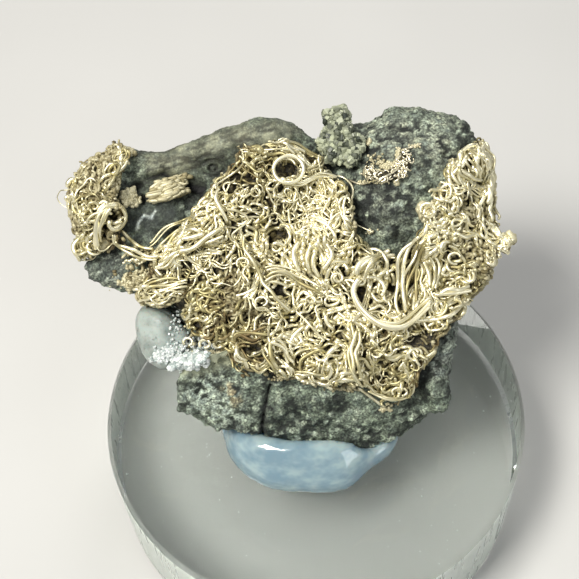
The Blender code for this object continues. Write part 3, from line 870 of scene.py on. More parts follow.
class Graph:
    """A material's node tree, with one method that makes any node."""

    def __init__(self, name: str) -> None:
        """Starts a material with no nodes but its output."""
        self.material = bpy.data.materials.new(name)
        self.material.use_nodes = True
        self.tree = self.material.node_tree
        self.tree.nodes.clear()
        self.output = self.tree.nodes.new("ShaderNodeOutputMaterial")

    def node(self, kind: str, settings: dict, inputs: dict, out: int | str = 0) -> Value:
        """Adds a node.

        Args:
            kind: The node's type.
            settings: Its settings, set first; stops are a ramp's (place, colour) pairs.
            inputs: Numbers, colours or Values by socket name or number.
            out: The output that is wanted.

        Returns:
            That output.
        """
        made = self.tree.nodes.new(kind)
        for name, value in settings.items():
            if name == "stops":
                ramp = made.color_ramp.elements
                for k, (place, colour) in enumerate(value):
                    stop = ramp[k] if k < 2 else ramp.new(place)
                    stop.position, stop.color = place, (*colour, 1.0)
            else:
                setattr(made, name, value)
        for name, value in inputs.items():
            if isinstance(value, Value):
                self.tree.links.new(value.socket, made.inputs[name])
            elif isinstance(value, tuple) and len(value) == 3 and made.inputs[name].type == "RGBA":
                made.inputs[name].default_value = (*value, 1.0)
            else:
                made.inputs[name].default_value = value
        return Value(self, made.outputs[out])

    def place(self) -> Value:
        """Object coordinates, in metres."""
        return self.node("ShaderNodeTexCoord", {}, {}, "Object")

    def cloud(self, size: float, detail: float = 3.0, stretch: Rgb = (1.0, 1.0, 1.0)) -> Value:
        """Noise from 0 to 1.

        Args:
            size: The size of its largest patches, in millimetres.
            detail: How many finer layers.
            stretch: How much finer it is along x, y and z.

        Returns:
            The noise.
        """
        where = self.place()
        if stretch != (1.0, 1.0, 1.0):
            where = self.node("ShaderNodeMapping", {}, {"Vector": where, "Scale": stretch})
        return self.node("ShaderNodeTexNoise", {}, {"Vector": where, "Scale": 1.0 / (size * MM),
                                                    "Detail": detail, "Roughness": 0.6})

    def ramp(self, value: Value, *stops: tuple[float, Rgb]) -> Value:
        """The value turned into a colour by a ramp's stops."""
        return self.node("ShaderNodeValToRGB", {"stops": stops}, {0: value})

    def between(self, value: Value, low: float, high: float) -> Value:
        """How far the value is from low to high, held between 0 and 1."""
        settings = {"interpolation_type": "SMOOTHSTEP"}
        return self.node("ShaderNodeMapRange", settings, {0: value, 1: low, 2: high})

    def mixed(self, share: "Value | float", under: "Value | Rgb", over: "Value | Rgb",
              blend: str = "MIX") -> Value:
        """Two colours mixed.

        Args:
            share: How much of over.
            under: The first colour.
            over: The second colour.
            blend: The Mix node's blend type.

        Returns:
            The colour.
        """
        settings = {"data_type": "RGBA", "blend_type": blend}
        return self.node("ShaderNodeMix", settings, {0: share, 6: under, 7: over}, 2)

    def kept(self, name: str, colour: bool = False) -> Value:
        """The mesh's own attribute, as a number or a colour."""
        return self.node("ShaderNodeAttribute", {"attribute_name": name}, {}, "Color" if colour else "Fac")

    def bump(self, height: Value, strength: float, depth: float) -> Value:
        """A normal from a height.

        Args:
            height: The height from 0 to 1.
            strength: How much of it shows.
            depth: How deep 1 is, in millimetres.

        Returns:
            The normal.
        """
        return self.node("ShaderNodeBump", {}, {"Height": height, "Strength": strength,
                                                "Distance": depth * MM})

    def principled(self, **inputs: "Value | float | Rgb") -> bpy.types.Material:
        """Ends the material in a Principled shader.

        Args:
            **inputs: Its sockets, with _ for a space.

        Returns:
            The material.
        """
        named = {name.replace("_", " "): value for name, value in inputs.items()}
        shader = self.node("ShaderNodeBsdfPrincipled", {}, named)
        self.tree.links.new(shader.socket, self.output.inputs["Surface"])
        return self.material


# Finishes

@dataclass(frozen=True)
class SilverFinish:
    """Bright wire with a pale gold tone that darkens to brown where it is tarnished and where deeper wires
    carry painted shade.
    """

    name: str = "native_silver"
    bright: Rgb = linear(243, 236, 203)
    olive: Rgb = linear(178, 169, 124)
    brown: Rgb = linear(122, 106, 76)
    roughness: float = 0.42
    metallic: float = 0.88

    def material(self) -> bpy.types.Material:
        """Colour by the attribute of tarnish and painted shade, with a little noise; roughness rises with it.
        """
        g = Graph(self.name)
        patch = g.cloud(1.6, 4.0)
        tarnish = (g.kept("tarnish") + (patch - 0.5) * 0.6).clamped()
        colour = g.ramp(tarnish, (0.0, self.bright), (0.9, self.brown), (0.45, self.olive))
        rough = tarnish * 0.25 + self.roughness
        fine = g.cloud(0.2, 2.0)
        return g.principled(Base_Color=colour, Metallic=self.metallic, Roughness=rough,
                            Normal=g.bump(fine, 0.2, 0.03))


@dataclass(frozen=True)
class FeltFinish:
    """The crumb of silver and rock dust under the wires, painted dark olive as the shade inside the tangle.
    """

    # Painted shade: near-black olive for the shadowed inside of the tangle.
    dark: Rgb = linear(30, 27, 16)
    pale: Rgb = linear(108, 98, 64)

    def material(self) -> bpy.types.Material:
        """Dark olive, which is painted shade between the wires, with paler grains, and a crumbly bump."""
        g = Graph("tarnished_silver")
        grain = g.cloud(0.45, 3.0)
        patch = g.cloud(2.5, 3.0)
        share = g.between(grain + (patch - 0.5) * 0.5, 0.44, 0.76)
        return g.principled(Base_Color=g.mixed(share, self.dark, self.pale), Metallic=0.4,
                            Roughness=0.6, Normal=g.bump(grain, 0.8, 0.25))


@dataclass(frozen=True)
class RockFinish:
    """Dark grey-green matrix: the stain attribute with grains of many greys."""

    roughness: float = 0.72

    def material(self) -> bpy.types.Material:
        """Colour from the mesh's stain, speckled except where it is calm, with a granular bump."""
        g = Graph("matrix_rock")
        fine, coarse = g.cloud(0.26, 4.0), g.cloud(0.9, 4.0)
        speckle = g.ramp(fine, (0.36, (0.24, 0.24, 0.24)), (0.7, (2.3, 2.35, 2.3)), (0.52, (1.0, 1.0, 1.0)))
        patches = g.ramp(coarse, (0.32, (0.62, 0.65, 0.67)), (0.72, (1.35, 1.32, 1.2)))
        stain = g.kept("stain", True)
        speckled = g.mixed(g.kept("calm"), g.mixed(1.0, stain, speckle, "MULTIPLY"), stain)
        colour = g.mixed(1.0, speckled, patches, "MULTIPLY")
        rough = self.roughness - 0.3 * g.between(fine, 0.55, 0.7)
        return g.principled(Base_Color=colour, Roughness=rough, Specular_IOR_Level=0.55,
                            Normal=g.bump(fine * 0.6 + coarse * 0.4, 0.9, 0.3))


@dataclass(frozen=True)
class CrystalFinish:
    """Small crystals: the stain attribute, slightly glassy."""

    name: str = "crystal"
    roughness: float = 0.28
    clarity: float = 0.15

    def material(self) -> bpy.types.Material:
        """Colour from the stain with a soft cloud in it; some light passes through."""
        g = Graph(self.name)
        cloud = g.ramp(g.cloud(0.5, 3.0), (0.3, (0.72, 0.74, 0.72)), (0.7, (1.15, 1.15, 1.12)))
        colour = g.mixed(1.0, g.kept("stain", True), cloud, "MULTIPLY")
        return g.principled(Base_Color=colour, Roughness=self.roughness, IOR=1.55,
                            Transmission_Weight=self.clarity, Normal=g.bump(g.cloud(0.2, 2.0), 0.3, 0.04))


@dataclass(frozen=True)
class CalciteFinish:
    """The smooth pale grey lump, with faint darker mottles."""

    pale: Rgb = linear(162, 171, 164)
    grey: Rgb = linear(96, 105, 100)

    def material(self) -> bpy.types.Material:
        """Pale grey clouds with a few small dark spots and a waxy gloss."""
        g = Graph("grey_calcite")
        cloud = g.cloud(2.2, 4.0)
        small = g.cloud(0.6, 2.0)
        share = (g.between(cloud, 0.35, 0.7) * 0.7 + g.between(small, 0.6, 0.75) * 0.5).clamped()
        return g.principled(Base_Color=g.mixed(share, self.pale, self.grey), Roughness=0.45,
                            Subsurface_Weight=0.25, Subsurface_Scale=0.0012,
                            Normal=g.bump(cloud * 0.6 + small * 0.4, 0.6, 0.15))


@dataclass(frozen=True)
class GlueFinish:
    """Milky hot glue: pale blue-grey, cloudy inside and glossy outside."""

    milk: Rgb = linear(142, 170, 184)
    thin: Rgb = linear(186, 208, 210)

    def material(self) -> bpy.types.Material:
        """Cloudy blue-grey under a clear coat, paler in streaks that run round the blob."""
        g = Graph("milky_glue")
        share = g.between(g.cloud(4.0, 3.0, (1.0, 1.0, 2.2)), 0.38, 0.68)
        return g.principled(Base_Color=g.mixed(share, self.milk, self.thin), Roughness=0.12, IOR=1.48,
                            Transmission_Weight=0.35, Subsurface_Weight=0.6, Subsurface_Scale=0.003,
                            Subsurface_Radius=(0.5, 0.8, 1.0), Coat_Weight=1.0, Coat_Roughness=0.03)


class AcrylicFace(Enum):
    """The two kinds of face on the base."""

    POLISHED = 0
    SAWN = 1


@dataclass(frozen=True)
class AcrylicFinish:
    """Clear acrylic, polished or with the fine ripple of a sawn edge."""

    face: AcrylicFace
    tint: Rgb = linear(250, 254, 252)
    edge: Rgb = linear(238, 246, 236)

    def material(self) -> bpy.types.Material:
        """Plain transmission; the sawn wall scatters light by its roughness and ripple."""
        if self.face is AcrylicFace.POLISHED:
            g = Graph("clear_acrylic")
            haze = g.between(g.cloud(3.0, 5.0), 0.5, 0.85)
            return g.principled(Base_Color=self.tint, Roughness=haze * 0.05 + 0.01, IOR=1.49,
                                Transmission_Weight=1.0)
        g = Graph("sawn_acrylic")
        saw = g.cloud(0.9, 3.0, (1.0, 1.0, 0.1))
        return g.principled(Base_Color=self.edge, Roughness=g.between(saw, 0.3, 0.8) * 0.3 + 0.22,
                            IOR=1.49, Transmission_Weight=0.5, Normal=g.bump(saw, 0.6, 0.15))


@dataclass(frozen=True)
class FloorFinish:
    """Plain pale matt paper."""

    colour: Rgb = linear(188, 187, 184)
    paler: Rgb = linear(193, 192, 189)

    def material(self) -> bpy.types.Material:
        """One pale colour with a trace of tone."""
        g = Graph("pale_floor")
        shade = g.ramp(g.cloud(60.0, 2.0), (0.3, self.colour), (0.7, self.paler))
        return g.principled(Base_Color=shade, Roughness=0.85)


# The specimen

@dataclass
class AcrylicBase:
    """The round clear base."""

    radius: float = 25.4
    height: float = 12.7
    bevel: float = 0.5
    columns: int = 256
    ripple: float = 0.03
    rings_across: int = 6
    wall_bands: int = 8

    def profile(self) -> Array:
        """Radius and height from the middle of the underside, round the wall, to the top's middle.

        Returns:
            The rows of the half section, poles left out.
        """
        r, h, b = self.radius, self.height, self.bevel
        flat = np.linspace(0.0, r - b, self.rings_across + 1)[1:]
        wall = np.linspace(b, h - b, self.wall_bands + 1)
        under = np.stack([flat, np.zeros_like(flat)], 1)
        sides = np.stack([np.full_like(wall, r), wall], 1)
        top = np.stack([flat[::-1], np.full_like(flat, h)], 1)
        return np.concatenate([under, sides, top])

    def build(self) -> bpy.types.Object:
        """The half section turned about the vertical axis, with the saw's ripple on the wall.

        Returns:
            The base.
        """
        rows = self.profile()
        turn = np.arange(self.columns) * TAU / self.columns
        reach = np.repeat(rows[:, :1], self.columns, 1)
        on_wall = (rows[:, 0] > self.radius - 1e-6)[:, None]
        wave = np.sin(9 * turn) + 0.6 * np.sin(23 * turn + 1.0) + 0.4 * np.sin(57 * turn + 2.0)
        reach = reach - on_wall * self.ripple * (1.0 + 0.5 * wave)[None]
        grid = np.stack([reach * np.cos(turn), reach * np.sin(turn),
                         np.repeat(rows[:, 1:], self.columns, 1)], -1)
        points = np.concatenate([grid.reshape(-1, 3), [[0, 0, 0.0], [0, 0, self.height]]])
        skin = ringed(points[None], len(rows), self.columns, {})
        banded = np.full(len(rows) - 1, AcrylicFace.POLISHED.value)
        banded[self.rings_across:self.rings_across + self.wall_bands] = AcrylicFace.SAWN.value
        polished = np.full(len(skin.triangles), AcrylicFace.POLISHED.value)
        skin.slots = np.concatenate([np.repeat(banded, self.columns), polished])
        finishes = [AcrylicFinish(face).material() for face in AcrylicFace]
        base = skin.made("acrylic_disc", "clear_acrylic", finishes, ["acrylic_base"])
        base.data.polygons.foreach_set("use_smooth", skin.slots == AcrylicFace.SAWN.value)
        return base


@dataclass
class GlueBlob:
    """The milky glue under the rock."""

    voxel: float = 0.33
    swell: float = 0.42
    floor: float = 12.7
    fold: float = 0.1

    def build(self) -> bpy.types.Object:
        """The CAD solid, smoothed and swollen until it wets the rock and the base.

        Returns:
            The blob.
        """
        skin = Skin.of_node("glue_blob", self.voxel).eased(14)
        folds = noise(skin.points * np.array([0.35, 1.0, 1.0]), 2.4, 5) + 0.6 * noise(skin.points, 4.0, 9)
        skin.pushed(self.swell + self.fold * folds).eased(2)
        skin.points[:, 2] = np.maximum(skin.points[:, 2], self.floor)
        return skin.made("glue_drop", "milky_glue", [GlueFinish().material()], ["glue_blob"])


@dataclass
class MatrixRock:
    """The dark rock with its dome, ridge, left lobe and front band."""

    voxel: float = 0.25
    ridge: tuple[Spot, ...] = (
        (165, 168, 20), (186, 158, 22), (212, 148, 20), (240, 140, 22), (268, 136, 18), (285, 136, 14),
    )
    crest: tuple[Pixel, ...] = ((140, 157), (170, 160), (205, 140), (235, 131), (265, 128), (290, 132))
    dome: tuple[Spot, ...] = ((400, 150, 52), (385, 205, 42), (440, 150, 40))
    flaked: tuple[Spot, ...] = ((405, 130, 34), (440, 140, 26), (370, 135, 18))
    crack: tuple[Pixel, ...] = ((276, 373), (272, 382), (268, 393), (265, 408), (262, 426), (262, 440))
    plates: tuple[Pixel, ...] = ((250, 424), (278, 427), (310, 432), (345, 436))
    platy: tuple[Pixel, ...] = ((262, 418), (290, 424), (330, 430), (370, 436))
    crevice: tuple[Pixel, ...] = ((146, 178), (156, 176), (166, 173), (184, 181), (196, 188), (204, 184))
    gap: tuple[Spot, ...] = ((195, 187, 9), (144, 200, 5), (138, 186, 5), (200, 194, 6))
    vein: tuple[Pixel, ...] = ((137, 229), (138, 223), (144, 215), (151, 218), (156, 211))
    blue_rock: tuple[Spot, ...] = ((150, 220, 22), (170, 215, 16), (130, 195, 10))
    lens: tuple[Pixel, ...] = ((186, 371), (205, 367), (227, 360))
    lens_width: float = 7.0
    lens_end: float = 232.0
    tan: tuple[Spot, ...] = ((229, 388, 6), (232, 394, 6), (235, 401, 6))
    streaked: tuple[Spot, ...] = ((90, 272, 16), (112, 272, 18))
    streak_slope: float = 0.65
    grey_side: tuple[Spot, ...] = ((455, 330, 22), (440, 360, 22), (436, 345, 14))
    pale_band: tuple[Spot, ...] = ((200, 395, 24), (225, 410, 20), (215, 380, 16))
    shoulder: tuple[Spot, ...] = ((474, 136, 13), (462, 128, 8))
    shoulder_push: float = 0.9
    swirl: Pixel = (213, 168)
    swirl_reach: float = 14.0
    swirl_pitch: float = 6.0
    ridge_slope: float = 0.27
    corner: Spot = (443, 382, 15)
    coarse_size: float = 1.25
    small_size: float = 0.66
    flake_size: float = 0.8
    flake_stretch: tuple[float, float, float] = (0.5, 1.35, 1.35)
    base_tones: tuple[Rgb, Rgb] = (linear(36, 42, 36), linear(122, 133, 118))
    dome_tones: tuple[Rgb, Rgb] = (linear(22, 26, 23), linear(134, 140, 127))
    streak_tones: tuple[Rgb, Rgb] = (linear(72, 78, 72), linear(158, 164, 152))
    flake_tone: Rgb = linear(150, 155, 138)
    pale_tone: Rgb = linear(158, 168, 152)
    washed_tone: Rgb = linear(182, 194, 181)
    ridge_tone: Rgb = linear(64, 68, 55)
    mottle_tone: Rgb = linear(152, 154, 134)
    ridge_vein_tone: Rgb = linear(44, 42, 32)
    ring_tone: Rgb = linear(32, 33, 28)
    blue_tone: Rgb = linear(50, 56, 52)
    grey_tone: Rgb = linear(126, 132, 126)
    tan_tone: Rgb = linear(170, 156, 122)
    lens_tone: Rgb = linear(148, 153, 132)
    vein_tone: Rgb = linear(196, 204, 200)
    # Near black: painted shade in the crack, the crevice and the gaps.
    crevice_shade_tone: Rgb = linear(9, 10, 9)

    def ripple(self, px: Array) -> Array:
        """Rings round the swirl's middle: a cosine of the distance, from -1 to 1."""
        return np.cos(np.linalg.norm((px - self.swirl) * (0.8, 1.1), axis=-1) * TAU / self.swirl_pitch)

    @staticmethod
    def lumpy(cells: tuple[Array, Array], swell: float, step: float, reach: float = 9.0) -> Array:
        """Grains as relief: each is round by swell, and within reach it stands out by its own step."""
        far, name = cells
        return swell * (0.5 - far) + step * (name - 0.5) * (far < reach)

    def build(self) -> Skin:
        """The CAD solid in fine squares, roughened by grains, with the crack and the thin plates.

        Returns:
            The rock's surface.
        """
        skin = Skin.of_node("matrix_rock", self.voxel).eased(2)
        skin.pushed(self.shoulder_push * spots(VIEW.pixels(skin.points), self.shoulder))
        p = skin.points.copy()
        px = VIEW.pixels(p)
        ridge, flaked = spots(px, self.ridge), spots(px, self.flaked)
        coarse, small = grains(p, self.coarse_size, 3), grains(p, self.small_size, 17)
        flakes = grains(p @ FACE.axes().T * np.array(self.flake_stretch), self.flake_size, 29)
        rough = np.clip(1.0 - 0.85 * ridge - 0.5 * flaked, 0.0, 1.0)
        push = 0.2 * layered(p, 3.2, 3, 1) + 0.1 * ridge * layered(p, 1.6, 3, 6)
        push += rough * self.lumpy(coarse, 0.34, 0.3, 0.42)
        push += rough * self.lumpy(small, 0.24, 0.2, 0.45)
        push += flaked * self.lumpy(flakes, 0.26, 0.16)
        push += 0.6 * spots(px, (self.corner,)) * noise(p, 1.5, 41)
        push -= 0.7 * groove(px, self.crack, 1.5) + 0.9 * groove(px, self.crevice, 3.2)
        push -= 0.26 * groove(px, self.plates, 1.6) + 0.2 * groove(px, self.platy, 1.6)
        push -= 0.9 * spots(px, self.gap)
        push += 0.28 * self.ripple(px) * spot(px, self.swirl, self.swirl_reach)
        skin.pushed(np.clip(push, -1.2, 0.42))
        skin.tones["stain"] = self.stain(p, px, coarse, small, flakes)
        calm = 0.8 * ridge + 0.5 * spots(px, self.blue_rock) + 0.8 * groove(px, self.lens, self.lens_width)
        skin.tones["calm"] = np.clip(calm, 0.0, 0.8)
        skin.made("rock_surface", "dark_matrix", [RockFinish().material()], ["matrix_rock"])
        return skin

    @staticmethod
    def slanted(px: Array, slope: float, across: float, down: float) -> Array:
        """Pixels as places for noise that is drawn out along a slope."""
        return np.stack([px[:, 0] * across, (px[:, 1] + slope * px[:, 0]) * down, np.zeros(len(px))], -1)

    def stain(self, p: Array, px: Array, coarse: tuple[Array, Array], small: tuple[Array, Array],
              flakes: tuple[Array, Array]) -> Array:
        """The rock's colours: a base tone of noise, grain by grain shades, then each place's own colour and
        painted shade.

        Args:
            p: The rock's points.
            px: Their pixels.
            coarse: The large grains' distances and names.
            small: The small grains' distances and names.
            flakes: The flakes' distances and names.

        Returns:
            One linear colour a point.
        """
        ridge, dome = spots(px, self.ridge), spots(px, self.dome)
        tone, shade = layered(p, 2.6, 4, 71), small[1] - 0.5
        stain = blended(*self.base_tones, 0.42 + 0.9 * tone + 0.95 * shade + 0.6 * (coarse[1] - 0.5))
        pale = ((small[1] > 0.84) & (small[0] < 0.5)) | ((coarse[1] > 0.9) & (coarse[0] < 0.4))
        mottle = 0.6 + 0.9 * layered(p, 1.3, 3, 83)
        mottle -= 0.03 * np.clip(off_line(px, self.crest) - 8.0, 0.0, 20.0)
        veins = layered(self.slanted(px, self.ridge_slope, 0.07, 0.3), 1.0, 3, 91)
        rings = spot(px, self.swirl, self.swirl_reach) * (0.5 - 0.5 * self.ripple(px))
        bands = noise(self.slanted(px, self.streak_slope, 0.13, 0.5), 1.0, 77)
        # Painted shade: near black along the crack and the crevice and in the gaps, where shade falls.
        crevice_shade = groove(px, self.crack, 1.8) + groove(px, self.crevice, 2.2) + spots(px, self.gap)
        coats = (
            (blended(*self.dome_tones, 0.42 + 0.45 * tone + 1.15 * shade), 0.9 * dome),
            (self.flake_tone, spots(px, self.flaked) * ((flakes[1] > 0.5) & (flakes[0] < 0.5))),
            (self.pale_tone, 0.8 * pale * (1.0 - 0.2 * dome)),
            (self.washed_tone, 0.8 * (spots(px, self.pale_band) * (small[1] > 0.4)) * (0.8 + 0.6 * tone)),
            (self.ridge_tone, 1.3 * ridge),
            (self.mottle_tone, 1.2 * ridge * mottle),
            (self.ridge_vein_tone, ridge * np.clip(3.5 * veins - 0.3, 0.0, 0.85)),
            (self.ring_tone, 1.1 * rings),
            (self.blue_tone, spots(px, self.blue_rock)),
            (blended(*self.streak_tones, 1.8 * bands - 0.2), spots(px, self.streaked)),
            (self.grey_tone, 0.8 * spots(px, self.grey_side) * (small[1] > 0.3)),
            (self.tan_tone, 0.8 * spots(px, self.tan) * (small[0] < 0.6)),
            (self.lens_tone, groove(px, self.lens, self.lens_width) * (px[:, 0] < self.lens_end)),
            (self.vein_tone, groove(px, self.vein, 1.3)),
            (self.crevice_shade_tone, crevice_shade),
        )
        for over, share in coats:
            stain = blended(stain, over, share)
        return stain


@dataclass(frozen=True)
class Bundle:
    """Strands of thick wire that run side by side along a line seen in the photograph."""

    line: tuple[Pixel, ...]
    radius: float
    strands: int = 1
    width: float = 0.0
    lift: float = 0.9
    tarnish: float = 0.1
    taper: float = 0.6


@dataclass(frozen=True)
class Coil:
    """A ring of wire: its centre and radius in pixels, and how many turns it makes."""

    centre: Pixel
    radius_px: float
    wire: float
    turns: float = 1.3
    lift: float = 0.9
    squash: float = 0.85
    start: float = 0.4
    shrink: float = 0.22
    tarnish: float = 0.08


@dataclass(frozen=True)
class Zone:
    """A part of the mat: where it is in pixels and how its wires run."""

    x: float
    y: float
    reach: float
    heading: float
    order: float
    curl: float
    thick: float = 1.0
    tarnish: float = 0.2


@dataclass(frozen=True)
class Wires:
    """One size of wire: how many, the points on each, its ranges in millimetres, the most in a bundle."""

    count: int
    steps: int
    length: tuple[float, float]
    radius: tuple[float, float]
    lift: tuple[float, float]
    siblings: int
    wild: float = 1.0


